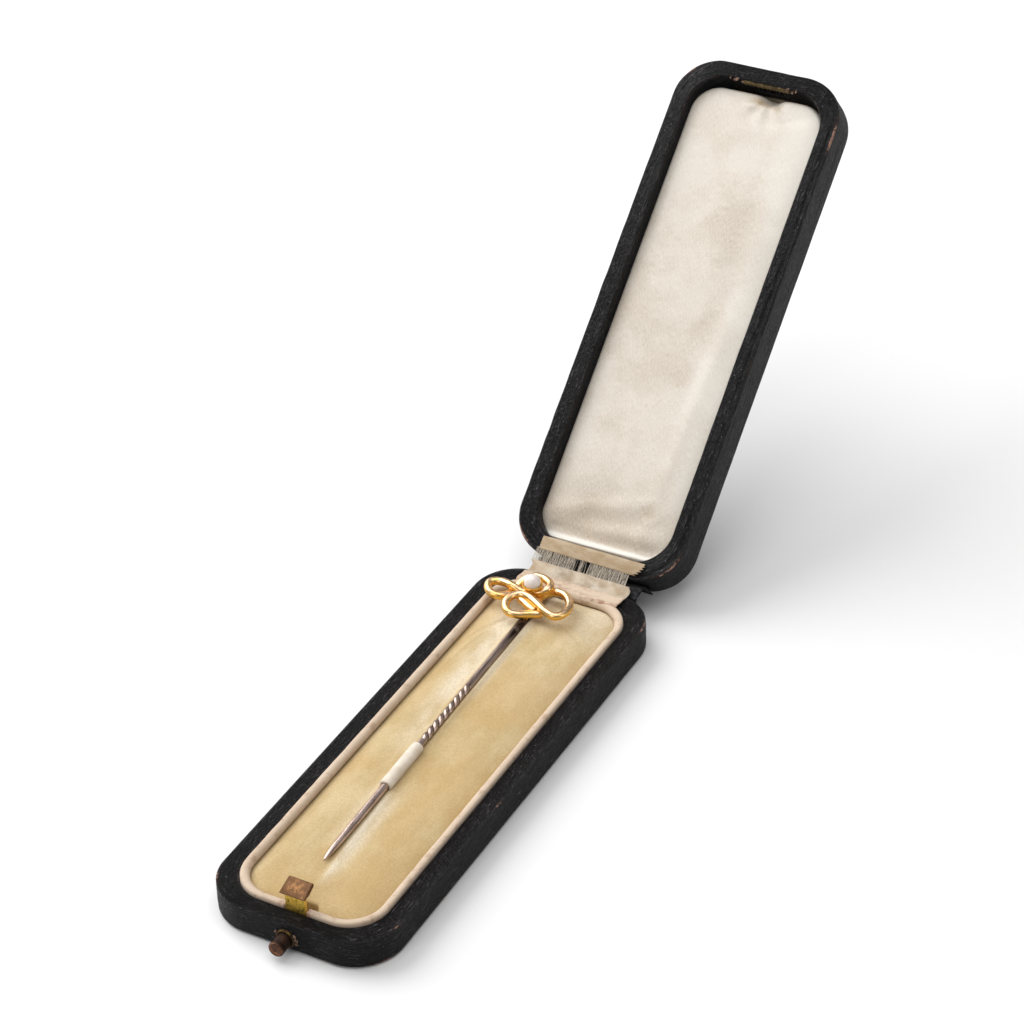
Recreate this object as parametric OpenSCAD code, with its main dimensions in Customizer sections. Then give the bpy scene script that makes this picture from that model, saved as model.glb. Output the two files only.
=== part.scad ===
// Hat pin in its fitted hinged case: short gold knot-and-pearl pin,
// leather-covered base with a velvet pad, silk-lined lid and push-button catch.
// Millimetres. The base stands on z = 0, the hinge is at the +Y end and the
// catch at the -Y end. The lid is drawn open, resting behind the base.

/* [Case] */
// Width of the case across the hinge
case_w = 28.2; // [24:0.1:34]
// Length of the case from catch to hinge
case_l = 84; // [70:0.5:100]
// Plan radius of the case's corners
corner_r = 7.1; // [6.5:0.1:9]
// Height of the base to the top of its rim
base_h = 4.7; // [4.2:0.1:6]
// Height of the lid from its rim to its top
lid_h = 6.95; // [6.5:0.05:8]
// Width of the rim along the sides
rim_w = 2.8; // [2.2:0.1:3.4]
// Thickness of the leather covering
skin = 0.45; // [0.3:0.05:0.6]
// Angle that the open lid makes with its closed position
open_deg = 139.56; // [0:0.01:139.56]

/* [Catch] */
// Diameter of the push button
button_d = 2.3; // [1.8:0.1:2.8]
// How far the button stands out of the case
button_out = 2.75; // [1.5:0.1:3]
// Width of the catch strip
strip_w = 3.1; // [2.5:0.1:3.6]
// Width of the catch nose
nose_w = 3.9; // [3.2:0.1:4.4]

/* [Pin] */
// Diameter of the plain part of the stem
stem_d = 0.9; // [0.6:0.05:1]
// Diameter of the knot's tubes
tube_d = 0.9; // [0.7:0.05:0.95]
// Diameter of the pearl
pearl_d = 2.62; // [2.2:0.02:2.8]

/* [Hidden] */
$fn = 48;
e = 0.02;
hx = case_w / 2;
hy = case_l / 2;
in_x = hx - rim_w + 0.05;
in_r = 5.9;
// the pocket of the base runs a little nearer the catch end
in_y = 39.35;
in_c = -0.15;
lid_z0 = base_h + 0.05;
lid_z1 = lid_z0 + lid_h;
// hinge line behind the back wall
hinge_y = 43.44;
hinge_z = 4.78;
catch_x = 0.2;
button_z = 2.0;
strip_y = -39.3;

// the pin lies almost along Y
stem_tip = [-1.3, -29.8, 5.4];
stem_turn = 1.16;
stem_len = 60.4;
pearl_at = [-3.78, 34.4, 8.5];

front_path = [
  [-3.85, 30.35, 6.75], [-3.15, 31.15, 6.5], [-2.6, 32.15, 6.2],
  [-2.4, 33.2, 6], [-2.6, 34.5, 5.9], [-2.1, 35.7, 6],
  [-0.8, 36.2, 6.4], [1, 35.75, 6.7], [2.65, 34.05, 6.8],
  [3.1, 31.95, 6.8], [2.2, 30.25, 6.9], [0.3, 30.55, 7.1],
  [-1.65, 31.5, 7.35], [-3.4, 32.25, 7.4], [-5, 32.1, 7.4],
  [-5.85, 30.7, 7.35], [-5.65, 29.25, 7.1], [-4.55, 28.3, 6.8],
  [-3.4, 28.5, 6.6], [-2.5, 29.25, 6.4], [-1.8, 30, 6.25],
  [-1.1, 30.6, 6.2]
];
back_path = [
  [-5.25, 33.85, 6.6], [-6.95, 33.8, 7.25], [-9, 34.1, 7.15],
  [-10.35, 33.4, 7.15], [-10.2, 32.15, 7.05], [-9.2, 31.4, 6.75],
  [-7.9, 31.65, 6.5], [-7.15, 32.8, 6.3], [-6.85, 34.65, 6.2],
  [-6.55, 36.1, 6.5], [-6, 37.35, 6.9], [-4.9, 38.15, 7.15],
  [-3.3, 38.1, 7.15], [-1.95, 36.9, 7.25], [-1.75, 35.35, 7.15],
  [-2.95, 34.4, 6.8]
];

// ---------- helpers ----------

// one point of a smooth curve through p, between points i and i + 1
function spline(a, b, c, d, t) =
  0.5 * (2 * b + (c - a) * t + (2 * a - 5 * b + 4 * c - d) * t * t
         + (3 * b - a - 3 * c + d) * t * t * t);
function closed_curve(p, n) = let (m = len(p)) [
  for (i = [0 : m - 1]) for (k = [0 : n - 1])
    spline(p[(i + m - 1) % m], p[i], p[(i + 1) % m], p[(i + 2) % m], k / n)
];
function open_curve(p, n) = let (m = len(p)) concat([
  for (i = [0 : m - 2]) for (k = [0 : n - 1])
    spline(p[max(i - 1, 0)], p[i], p[i + 1], p[min(i + 2, m - 1)], k / n)
], [p[m - 1]]);
function unit(v) = v / norm(v);
// a ring of n points around c, square to t
function ring_at(c, t, r, n) =
  let (u = unit(cross(t, [0, 0, 1])), v = cross(u, t))
  [for (k = [0 : n - 1]) c + r * (cos(360 * k / n) * u + sin(360 * k / n) * v)];
function flat(l) = [for (a = l) for (b = a) b];
function tube_sides(m, n, last) = [
  for (i = [0 : last]) for (k = [0 : n - 1])
    [i * n + k, ((i + 1) % m) * n + k, ((i + 1) % m) * n + (k + 1) % n,
     i * n + (k + 1) % n]
];

// closed tube along a loop
module loop_tube(p, r, n) {
  m = len(p);
  polyhedron(
    points = flat([for (i = [0 : m - 1])
      ring_at(p[i], unit(p[(i + 1) % m] - p[(i + m - 1) % m]), r, n)]),
    faces = tube_sides(m, n, m - 1));
}
// tube with two rounded ends
module end_tube(p, r, n) {
  m = len(p);
  polyhedron(
    points = flat([for (i = [0 : m - 1])
      ring_at(p[i], unit(p[min(i + 1, m - 1)] - p[max(i - 1, 0)]),
              r * (i == 0 || i == m - 1 ? 0.45 : (i == 1 || i == m - 2 ? 0.85 : 1)), n)]),
    faces = concat([[for (k = [0 : n - 1]) k]],
      [[for (k = [0 : n - 1]) (m - 1) * n + n - 1 - k]],
      tube_sides(m, n, m - 2)));
}

// profile p, in distance from the corner's centre and height, carried
// round a rounded rectangle of half sizes x, y and corner radius r
module ring(x, y, r, p) {
  for (sx = [-1, 1])
    translate([sx * (x - r), 0, 0])
      rotate([90, 0, 0])
        linear_extrude(height = 2 * (y - r), center = true)
          mirror([sx < 0 ? 1 : 0, 0]) polygon(p);
  for (sy = [-1, 1])
    translate([0, sy * (y - r), 0])
      rotate([90, 0, 90])
        linear_extrude(height = 2 * (x - r), center = true)
          mirror([sy < 0 ? 1 : 0, 0]) polygon(p);
  for (q = [[1, 1, 0], [-1, 1, 90], [-1, -1, 180], [1, -1, 270]])
    translate([q[0] * (x - r), q[1] * (y - r), 0])
      rotate([0, 0, q[2]])
        rotate_extrude(angle = 90) polygon(p);
}
// the same, filled in the middle from z0 to z1
module slab(x, y, r, p, z0, z1) {
  ring(x, y, r, p);
  translate([r - x, r - y, z0])
    cube([2 * (x - r), 2 * (y - r), z1 - z0]);
}
// flat plate with rounded corners
module plate(x, y, r, z0, z1) {
  translate([0, 0, z0])
    linear_extrude(height = z1 - z0)
      union() {
        square([2 * x, 2 * (y - r)], center = true);
        square([2 * (x - r), 2 * y], center = true);
        for (sx = [-1, 1])
          for (sy = [-1, 1])
            translate([sx * (x - r), sy * (y - r)]) circle(r = r);
      }
}
module box(x0, x1, y0, y1, z0, z1) {
  translate([x0, y0, z0]) cube([x1 - x0, y1 - y0, z1 - z0]);
}
// cylinder along Y
module rod(x, z, y0, y1, r) {
  translate([x, y1, z]) rotate([90, 0, 0]) cylinder(r = r, h = y1 - y0);
}
// from the closed position of the lid to where it rests open
module lid_open() {
  translate([0, hinge_y, hinge_z])
    rotate([-open_deg, 0, 0])
      translate([0, -hinge_y, -hinge_z])
        children();
}
// from the pin's own axis to where it lies
module pin_place() {
  translate(stem_tip) rotate([0, 0, stem_turn]) children();
}

// ---------- base ----------

module base_pocket(z0, z1) {
  translate([0, in_c, 0]) plate(in_x, in_y, in_r, z0, z1);
}
module base_core() {
  plate(hx - skin, hy - skin, corner_r - skin, 0.35, base_h - skin);
}
module button_hole() {
  rod(catch_x - 0.1, button_z, -hy - 1, -39, button_d / 2 + 0.35);
}

module base_frame() {
  color([0.62, 0.47, 0.3])
  difference() {
    base_core();
    base_pocket(0, base_h);
    button_hole();
  }
}

module base_floor() {
  color([0.6, 0.5, 0.38])
  difference() {
    translate([0, in_c, 0])
      plate(in_x - e, in_y - e, in_r - e, 0.35, 1.15);
    box(catch_x - 2.2, catch_x + 2.2, -40, -37.2, 0.75, 2);
  }
}

module base_leather() {
  color([0.06, 0.055, 0.06])
  difference() {
    slab(hx, hy, corner_r,
      [[0, 0], [corner_r - 0.25, 0], [corner_r, 0.3], [corner_r, base_h - 0.35],
       [corner_r - 0.1, base_h - 0.1], [corner_r - 0.35, base_h], [0, base_h]],
      0, base_h);
    base_core();
    base_pocket(-1, base_h + 1);
    plate(hx - 2.2, hy - 2.2, corner_r - 2.2, -1, 0.36);
    button_hole();
    box(-8.5, 8.5, 39, hy + 1, base_h - 0.22, base_h + 1);
  }
}

module base_foot_paper() {
  color([0.42, 0.36, 0.3])
  plate(hx - 2.25, hy - 2.25, corner_r - 2.25, 0, 0.33);
}

module base_collar() {
  color([0.87, 0.78, 0.68])
  difference() {
    translate([0, in_c, 0])
      ring(in_x - 0.1, in_y - 0.1, in_r - 0.1,
        [[4.95, 1.17], [5.8, 1.17], [5.8, 4.85], [5.68, 5.07],
         [5.38, 5.17], [5.08, 5.07], [4.95, 4.85]]);
    box(catch_x - 1.8, catch_x + 1.8, -40, -37.5, 1.17, 6);
  }
}

module catch_notch() {
  box(catch_x - 2.2, catch_x + 2.2, -40, -37.2, 0, 6);
}

module pad_board() {
  color([0.66, 0.58, 0.46])
  difference() {
    translate([0, in_c, 0])
      plate(in_x - 1, in_y - 1, in_r - 1, 1.17, 1.95);
    catch_notch();
  }
}

module velvet_pad() {
  color([0.84, 0.75, 0.56])
  difference() {
    translate([0, in_c, 0])
      slab(in_x - 1, in_y - 1, in_r - 1,
        [[0, 1.97], [4.9, 1.97], [4.9, 3.2], [4.7, 3.6], [4.15, 4],
         [3.2, 4.4], [1.8, 4.7], [0, 4.85]],
        1.97, 4.85);
    catch_notch();
    pin_place() box(-0.98, 0.98, 16.9, 26.5, -0.98, 1);
  }
}

module pin_band() {
  color([0.89, 0.82, 0.7])
  pin_place()
  difference() {
    union() {
      rod(0, 0, 17, 26.4, 0.85);
      box(-0.85, 0.85, 17, 26.4, -0.85, 0);
    }
    rod(0, 0, 16, 27, 0.52);
  }
}

module button_bush() {
  color([0.5, 0.4, 0.22])
  difference() {
    rod(catch_x - 0.1, button_z, -hy - 0.35, -39.55, button_d / 2 + 0.33);
    rod(catch_x - 0.1, button_z, -hy - 1, -39, button_d / 2 + 0.04);
  }
}

module hinge_leather_base() {
  color([0.07, 0.06, 0.06])
  union() {
    box(-9.5, 9.5, hy, hy + 0.3, 0.7, 4.4);
    box(-9.5, 9.5, hy, hinge_y - 0.2, 4.1, 4.4);
  }
}

module silk_ribbon_base() {
  color([0.9, 0.87, 0.8])
  box(-8.4, 8.4, 39.25, hinge_y - 0.15, base_h - 0.2, base_h - 0.05);
}

// ---------- catch ----------

module push_button() {
  color([0.38, 0.27, 0.15])
  rotate([90, 0, 0])
    translate([catch_x - 0.1, button_z, 39.3])
      rotate_extrude()
        polygon([[0, 0], [button_d / 2, 0], [button_d / 2, button_out + 2.35],
                 [button_d / 2 - 0.12, button_out + 2.6],
                 [button_d / 2 - 0.4, button_out + 2.7], [0, button_out + 2.7]]);
}

module catch_hook() {
  color([0.72, 0.58, 0.26])
  union() {
    box(catch_x - strip_w / 2, catch_x + strip_w / 2,
        strip_y, strip_y + 0.5, 1.25, 7.7);
    translate([catch_x - nose_w / 2, 0, 0])
      rotate([90, 0, 90])
        linear_extrude(height = nose_w)
          polygon([[-39.95, 7.6], [-39.95, 7.75], [-37.5, 8.75],
                   [-37.25, 8.6], [-37.25, 8.15], [-38.5, 7.6]]);
  }
}

module catch_rivet() {
  color([0.66, 0.52, 0.24])
  rod(catch_x - 0.1, button_z, strip_y + 0.5, strip_y + 0.82, 0.75);
}

// ---------- lid, drawn closed and then opened ----------

module lid_pocket(x, y0, y1, r, z0, z1) {
  translate([0, (y0 + y1) / 2, 0]) plate(x, (y1 - y0) / 2, r, z0, z1);
}
module nose_slot() {
  box(catch_x - 2.55, catch_x + 2.55, -40.7, -39, 6.95, 9.4);
}
module keeper_bed() {
  box(catch_x - 4, catch_x + 4, -39.9, -39, 5.9, 6.95);
}

module lid_frame() {
  color([0.62, 0.47, 0.3])
  lid_open()
  difference() {
    plate(hx - skin, hy - skin, corner_r - skin, lid_z0 + 0.4, lid_z1 - skin);
    lid_pocket(in_x + 0.25, -39.8, 39.5, in_r + 0.25, 4, 7.2);
    lid_pocket(in_x, -39.55, 39.25, in_r, 4, 12);
    nose_slot();
    keeper_bed();
    for (s = [-1, 1])
      rod(catch_x + 3.2 * s, 6.42, -41, -39, 0.37);
  }
}

module lid_panel() {
  color([0.6, 0.5, 0.38])
  lid_open()
    lid_pocket(in_x - e, -39.53, 39.23, in_r - e, 10.55, lid_z1 - skin);
}

module lid_leather() {
  color([0.06, 0.055, 0.06])
  lid_open()
  difference() {
    slab(hx, hy, corner_r,
      [[0, lid_z0], [corner_r - 0.3, lid_z0], [corner_r - 0.08, lid_z0 + 0.1],
       [corner_r, lid_z0 + 0.35], [corner_r, lid_z1 - 1.1],
       [corner_r - 0.12, lid_z1 - 0.6], [corner_r - 0.45, lid_z1 - 0.2],
       [corner_r - 1, lid_z1], [0, lid_z1]],
      lid_z0, lid_z1);
    difference() {
      plate(hx - skin, hy - skin, corner_r - skin, lid_z0 + 0.4, lid_z1 - skin);
      lid_pocket(in_x + 0.24, -39.79, 39.49, in_r + 0.24, 4, 7.2);
    }
    lid_pocket(in_x, -39.55, 39.25, in_r, 4, lid_z1 - skin);
    nose_slot();
    keeper_bed();
    for (s = [-1, 1])
      rod(catch_x + 3.2 * s, 6.42, -41, -39, 0.37);
    box(-8.5, 8.5, 39, hy + 1, lid_z0 - 1, lid_z0 + 0.22);
  }
}

module lid_pad_board() {
  color([0.66, 0.58, 0.46])
  lid_open()
    lid_pocket(in_x - 0.2, -39.3, 39, in_r - 0.2, 10.27, 10.55);
}

module lid_cushion() {
  color([0.92, 0.89, 0.84])
  lid_open()
  difference() {
    translate([0, 0.95, 0])
      slab(in_x - 0.3, 36.85, in_r - 0.3,
        [[0, 10.25], [5.4, 10.25], [5.6, 9.8], [5.6, 7.5], [5.35, 7],
         [4.6, 6.65], [3.2, 6.42], [0, 6.35]],
        6.35, 10.25);
    translate([-3.9, 33, 5]) cylinder(r = 8.6, h = 3.2);
    rod(pearl_at[0], pearl_at[2], 33.3, 34.7, 1.7);
    translate([pearl_at[0], 34.7, pearl_at[2]]) sphere(r = 1.7);
    translate([pearl_at[0], 33.3, pearl_at[2]]) sphere(r = 1.7);
  }
}

module keeper_plate() {
  color([0.68, 0.55, 0.28])
  lid_open()
  difference() {
    box(catch_x - 3.95, catch_x + 3.95, -39.88, -39.56, 5.92, 6.93);
    for (s = [-1, 1])
      rod(catch_x + 3.2 * s, 6.42, -41, -39, 0.37);
  }
}

module keeper_pin(s) {
  color([0.6, 0.48, 0.24])
  lid_open()
    rod(catch_x + 3.2 * s, 6.42, -40.9, -39.52, 0.36);
}
module keeper_pin_left() {
  keeper_pin(-1);
}
module keeper_pin_right() {
  keeper_pin(1);
}

module hinge_leather_lid() {
  color([0.07, 0.06, 0.06])
  lid_open()
  union() {
    box(-9.5, 9.5, hy, hy + 0.3, 5.02, 9.6);
    box(-9.5, 9.5, hy, hinge_y - 0.2, 5.02, 5.3);
  }
}

module silk_ribbon_lid() {
  color([0.9, 0.87, 0.8])
  lid_open()
    box(-8.4, 8.4, 39.2, hinge_y - 0.15, lid_z0 + 0.05, lid_z0 + 0.2);
}

// ---------- pin ----------

// distance from the tip of each ring of the stem
stem_s = concat([0, 1.5, 4, 8, 13, 18, 27.6],
  [for (i = [0 : 40]) 27.8 + i * 0.335], [41.4, 47, 54, 60, stem_len]);
// smooth below the twist, four-sided with rounded edges above
function stem_r(s) = stem_d / 2 *
  (s < 1 ? 0.12 : s < 3 ? 0.6 : s < 6 ? 0.84 : s < 10 ? 0.96
   : s > stem_len - 0.1 ? 0.8 : 1);
function edge_r(s) = s < 27.7 ? 0 : 0.035;
function turn_at(s) = s < 27.8 ? 0 : s > 41.2 ? 810 : 810 * (s - 27.8) / 13.4;

module pin_stem() {
  n = 16;
  m = len(stem_s);
  color([0.7, 0.58, 0.52])
  pin_place()
  polyhedron(
    points = flat([for (s = stem_s) [for (k = [0 : n - 1])
      let (a = 360 * k / n,
           r = stem_r(s) + edge_r(s) * (cos(4 * (a - turn_at(s))) - 1))
      [r * cos(a), s, -r * sin(a)]]]),
    faces = concat([[for (k = [0 : n - 1]) k]],
      [[for (k = [0 : n - 1]) (m - 1) * n + n - 1 - k]],
      tube_sides(m, n, m - 2)));
}

module stem_socket() {
  color([0.55, 0.42, 0.3])
  pin_place()
  difference() {
    union() {
      rod(0, 0, 59, 60.9, 0.52);
      translate([0, 58.9, 0.2]) cylinder(r = 0.3, h = 0.62);
    }
    rod(0, 0, 57, 60.45, stem_d / 2 + 0.01);
  }
}

module knot_front_tube() {
  color([0.9, 0.68, 0.28])
  end_tube(open_curve(front_path, 4), tube_d / 2, 12);
}

module knot_back_tube() {
  color([0.9, 0.68, 0.28])
  loop_tube(closed_curve(back_path, 5), tube_d / 2, 12);
}

module pearl_cup() {
  color([0.88, 0.68, 0.3])
  translate([pearl_at[0], pearl_at[1], pearl_at[2] - 8.45])
    rotate_extrude()
      polygon([[0.2, 6.9], [0.6, 6.95], [1.1, 7.25], [1.42, 7.7],
               [1.55, 8.15], [1.42, 8.2], [1.3, 8.12], [1.18, 7.83],
               [1.03, 7.6], [0.75, 7.35], [0.45, 7.19], [0.2, 7.13]]);
}

module pearl_peg() {
  color([0.88, 0.68, 0.3])
  translate([pearl_at[0], pearl_at[1], 6.95])
    cylinder(r = 0.19, h = 1.9);
}

module pearl() {
  color([0.94, 0.92, 0.9])
  difference() {
    translate(pearl_at) sphere(r = pearl_d / 2);
    translate([pearl_at[0], pearl_at[1], 6]) cylinder(r = 0.2, h = 2.9);
  }
}

base_frame();
base_floor();
base_leather();
base_foot_paper();
base_collar();
pad_board();
velvet_pad();
pin_band();
button_bush();
hinge_leather_base();
silk_ribbon_base();
push_button();
catch_hook();
catch_rivet();
lid_frame();
lid_panel();
lid_leather();
lid_pad_board();
lid_cushion();
keeper_plate();
keeper_pin_left();
keeper_pin_right();
hinge_leather_lid();
silk_ribbon_lid();
pin_stem();
stem_socket();
knot_front_tube();
knot_back_tube();
pearl_cup();
pearl_peg();
pearl();
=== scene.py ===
"""Short gold hat pin with a knot and pearl head, in its fitted hinged leather case."""
import math
import random

import bmesh
import bpy
import numpy as np
from mathutils import Matrix, Vector


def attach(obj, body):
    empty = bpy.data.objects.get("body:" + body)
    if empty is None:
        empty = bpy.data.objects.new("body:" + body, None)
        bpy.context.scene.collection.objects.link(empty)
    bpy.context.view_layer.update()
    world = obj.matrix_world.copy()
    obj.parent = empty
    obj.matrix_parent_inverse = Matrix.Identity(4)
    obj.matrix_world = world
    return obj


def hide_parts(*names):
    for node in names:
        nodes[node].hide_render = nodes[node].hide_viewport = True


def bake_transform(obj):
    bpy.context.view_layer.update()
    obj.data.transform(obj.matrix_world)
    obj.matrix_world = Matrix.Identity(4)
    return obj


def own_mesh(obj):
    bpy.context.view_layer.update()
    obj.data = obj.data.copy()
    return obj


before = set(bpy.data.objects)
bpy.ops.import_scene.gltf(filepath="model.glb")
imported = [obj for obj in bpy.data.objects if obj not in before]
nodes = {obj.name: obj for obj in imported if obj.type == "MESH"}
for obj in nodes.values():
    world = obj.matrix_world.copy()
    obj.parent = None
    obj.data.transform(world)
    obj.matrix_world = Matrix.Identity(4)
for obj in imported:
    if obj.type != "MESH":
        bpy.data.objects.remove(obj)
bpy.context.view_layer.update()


scene = bpy.context.scene
scene.view_settings.view_transform = "Standard"
MM = 0.001

# ---------- camera, light and floor ----------
# A long lens looks down on the case from its catch end, a little to the
# right. A white sweep and large soft lights stand round it.

camera_data = bpy.data.cameras.new("camera")
camera_data.sensor_width = 36.0
camera_data.lens = 108.165
camera_data.clip_start = 0.01
camera = bpy.data.objects.new("camera", camera_data)
scene.collection.objects.link(camera)
camera.matrix_world = (
    Matrix.Translation((0.17943, -0.28660, 0.28258))
    @ Matrix.Rotation(math.radians(30.117), 4, "Z")
    @ Matrix.Rotation(math.radians(54.763), 4, "X")
    @ Matrix.Rotation(math.radians(-2.455), 4, "Z")
)
scene.camera = camera

LAMPS_FACE = Vector((0.0, 0.03, 0.02))


def soft_light(name, place, size, watts):
    """A white softbox, wide and high as size says, that faces the case."""
    data = bpy.data.lights.new(name, "AREA")
    data.shape = "RECTANGLE"
    data.size, data.size_y = size
    data.energy = watts
    lamp = bpy.data.objects.new(name, data)
    scene.collection.objects.link(lamp)
    lamp.location = place
    lamp.rotation_euler = (LAMPS_FACE - Vector(place)).to_track_quat("-Z", "Y").to_euler()


soft_light("key_softbox", (-0.48, 0.1, 0.43), (0.65, 0.6), 5.4)
soft_light("overhead_softbox", (0.05, 0.05, 0.8), (0.7, 0.7), 3.3)
soft_light("front_softbox", (-0.1, -0.6, 0.4), (0.4, 0.3), 1.0)
soft_light("side_softbox", (0.6, 0.05, 0.3), (0.12, 0.6), 0.6)

# the room gives a dim fill light, and shows white behind the case
ROOM_GLOW = 0.24
world = bpy.data.worlds.new("studio")
world.use_nodes = True
background = world.node_tree.nodes["Background"]
background.inputs["Color"].default_value = (1, 1, 1, 1)
seen = world.node_tree.nodes.new("ShaderNodeLightPath").outputs["Is Camera Ray"]
glow = world.node_tree.nodes.new("ShaderNodeMath")
glow.operation = "MULTIPLY_ADD"
glow.inputs[1].default_value = 1 - ROOM_GLOW
glow.inputs[2].default_value = ROOM_GLOW
world.node_tree.links.new(seen, glow.inputs[0])
world.node_tree.links.new(glow.outputs[0], background.inputs["Strength"])
scene.world = world


def linear(hex_colour):
    """A colour written as six hex digits, as linear light."""
    parts = [int(hex_colour[i:i + 2], 16) / 255 for i in (0, 2, 4)]
    return tuple(p / 12.92 if p <= 0.04045 else ((p + 0.055) / 1.055) ** 2.4
                 for p in parts) + (1.0,)


def add(tree, kind, ins=None, **settings):
    """A shader node with its settings, and its inputs set or linked."""
    made = tree.nodes.new(kind)
    for key, value in settings.items():
        setattr(made, key, value)
    for key, value in (ins or {}).items():
        if isinstance(value, bpy.types.NodeSocket):
            tree.links.new(value, made.inputs[key])
        else:
            made.inputs[key].default_value = value
    return made


def blend_colour(tree, share, first, second):
    """The first colour, going over to the second as the share goes to 1.
    Each is a socket, or a colour in hex digits."""
    first, second = (linear(c) if isinstance(c, str) else c for c in (first, second))
    return add(tree, "ShaderNodeMix", {0: share, 6: first, 7: second},
               data_type="RGBA", blend_type="MIX").outputs[2]


def maths(tree, operation, first, second=0.0, clamp=False):
    made = add(tree, "ShaderNodeMath", {0: first, 1: second}, operation=operation)
    made.use_clamp = clamp
    return made.outputs[0]


def between(tree, value, low, high, to_low=0.0, to_high=1.0):
    """Value from low to high, spread smoothly over to_low to to_high."""
    return add(tree, "ShaderNodeMapRange",
               {"Value": value, "From Min": low, "From Max": high,
                "To Min": to_low, "To Max": to_high},
               interpolation_type="SMOOTHSTEP").outputs["Result"]


def noise_of(tree, vector, scale, detail=4.0, rough=0.55, stretch=None, turn=0.0):
    """Cloudy noise; stretch squeezes it per axis, turn lays it at an angle."""
    if stretch or turn:
        vector = add(tree, "ShaderNodeMapping",
                     {"Vector": vector, "Scale": stretch or (1, 1, 1),
                      "Rotation": (0, 0, math.radians(turn))}).outputs[0]
    return add(tree, "ShaderNodeTexNoise",
               {"Vector": vector, "Scale": scale, "Detail": detail,
                "Roughness": rough}).outputs["Fac"]


def new_material(name):
    """A material, its node tree, and its one Principled shader."""
    made = bpy.data.materials.new(name)
    made.use_nodes = True
    tree = made.node_tree
    return made, tree, tree.nodes["Principled BSDF"]


def own_mm(tree, flat=True):
    """Place on the surface in millimetres: along and across, or in space."""
    if flat:
        return add(tree, "ShaderNodeUVMap", uv_map="mm").outputs["UV"]
    at = add(tree, "ShaderNodeTexCoord").outputs["Object"]
    return add(tree, "ShaderNodeVectorMath", {0: at, 1: (1000, 1000, 1000)},
               operation="MULTIPLY").outputs[0]


def mark(tree, name):
    """A value that the mesh carries at each point, such as rub or soil."""
    return add(tree, "ShaderNodeAttribute", attribute_name=name,
               attribute_type="GEOMETRY").outputs["Fac"]


def bump(tree, shader, height, depth_mm, strength=1.0):
    made = add(tree, "ShaderNodeBump",
               {"Height": height, "Distance": depth_mm * MM, "Strength": strength})
    tree.links.new(made.outputs["Normal"], shader.inputs["Normal"])


def feed(tree, shader, **sockets):
    """Links what changes over the surface to the shader."""
    names = {"colour": "Base Color", "rough": "Roughness", "metal": "Metallic"}
    for key, value in sockets.items():
        tree.links.new(value, shader.inputs[names[key]])


def fixed(shader, **values):
    """Sets what is the same all over the surface on the shader's own sockets."""
    names = {"rough": "Roughness", "metal": "Metallic", "sheen": "Sheen Weight",
             "sheen_rough": "Sheen Roughness", "sheen_tint": "Sheen Tint",
             "coat": "Coat Weight", "coat_rough": "Coat Roughness",
             "gloss": "Specular IOR Level",
             "under": "Subsurface Weight", "under_reach": "Subsurface Radius",
             "under_scale": "Subsurface Scale", "brushed": "Anisotropic"}
    for key, value in values.items():
        shader.inputs[names[key]].default_value = value


FLOOR_HALF, FLOOR_WHITE = 3.0, 0.77
floor_mesh = bpy.data.meshes.new("floor")
floor_mesh.from_pydata([(a * FLOOR_HALF, b * FLOOR_HALF, 0)
                        for a, b in ((-1, -1), (1, -1), (1, 1), (-1, 1))],
                       [], [(0, 1, 2, 3)])
floor = bpy.data.objects.new("floor", floor_mesh)
scene.collection.objects.link(floor)
floor.location.z = -0.0001
floor_paint, tree, shader = new_material("white_floor")
shader.inputs["Base Color"].default_value = (FLOOR_WHITE,) * 3 + (1,)
fixed(shader, rough=0.9, gloss=0.1)
floor_mesh.materials.append(floor_paint)

# ---------- wood, board and paper inside the case ----------
# The base and the lid are each a bare wood ring with a thin board let into
# it. They are CAD parts that the leather and the linings hide; a brown
# paper covers the foot.


def wood_material():
    made, tree, shader = new_material("bare_wood")
    at = own_mm(tree, flat=False)
    grain = noise_of(tree, at, 0.9, 6, 0.6, stretch=(3.2, 0.22, 3.2))
    pores = noise_of(tree, at, 6.0, 3, 0.6, stretch=(2.5, 0.2, 2.5))
    tone = blend_colour(tree, grain, "8f6b42", "c39a66")
    # painted shade: the wood that shows in the slot that the catch snaps into is darkened
    # nearly black
    from_slot = add(tree, "ShaderNodeVectorMath", {0: at, 1: (0.2, 109.1, 56.2)},
                    operation="DISTANCE").outputs["Value"]
    tone = blend_colour(tree, between(tree, from_slot, 3.2, 4.2, 1.0, 0.0), tone,
                        "17110c")
    feed(tree, shader, colour=blend_colour(tree, between(tree, pores, 0.55, 0.7, 0, 0.5),
                                           tone, "5b3f25"),
         rough=between(tree, grain, 0.3, 0.7, 0.55, 0.75))
    bump(tree, shader, pores, 0.04)
    return made


def board_material():
    made, tree, shader = new_material("grey_pasteboard")
    at = own_mm(tree, flat=False)
    fibres = noise_of(tree, at, 3.5, 6, 0.7)
    flecks = noise_of(tree, at, 9.0, 2, 0.5)
    tone = blend_colour(tree, fibres, "85775f", "b3a58a")
    feed(tree, shader, colour=blend_colour(tree, between(tree, flecks, 0.6, 0.7, 0, 0.6),
                                           tone, "5a4c3a"),
         rough=between(tree, fibres, 0.3, 0.7, 0.8, 0.95))
    bump(tree, shader, fibres, 0.03)
    return made


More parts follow.
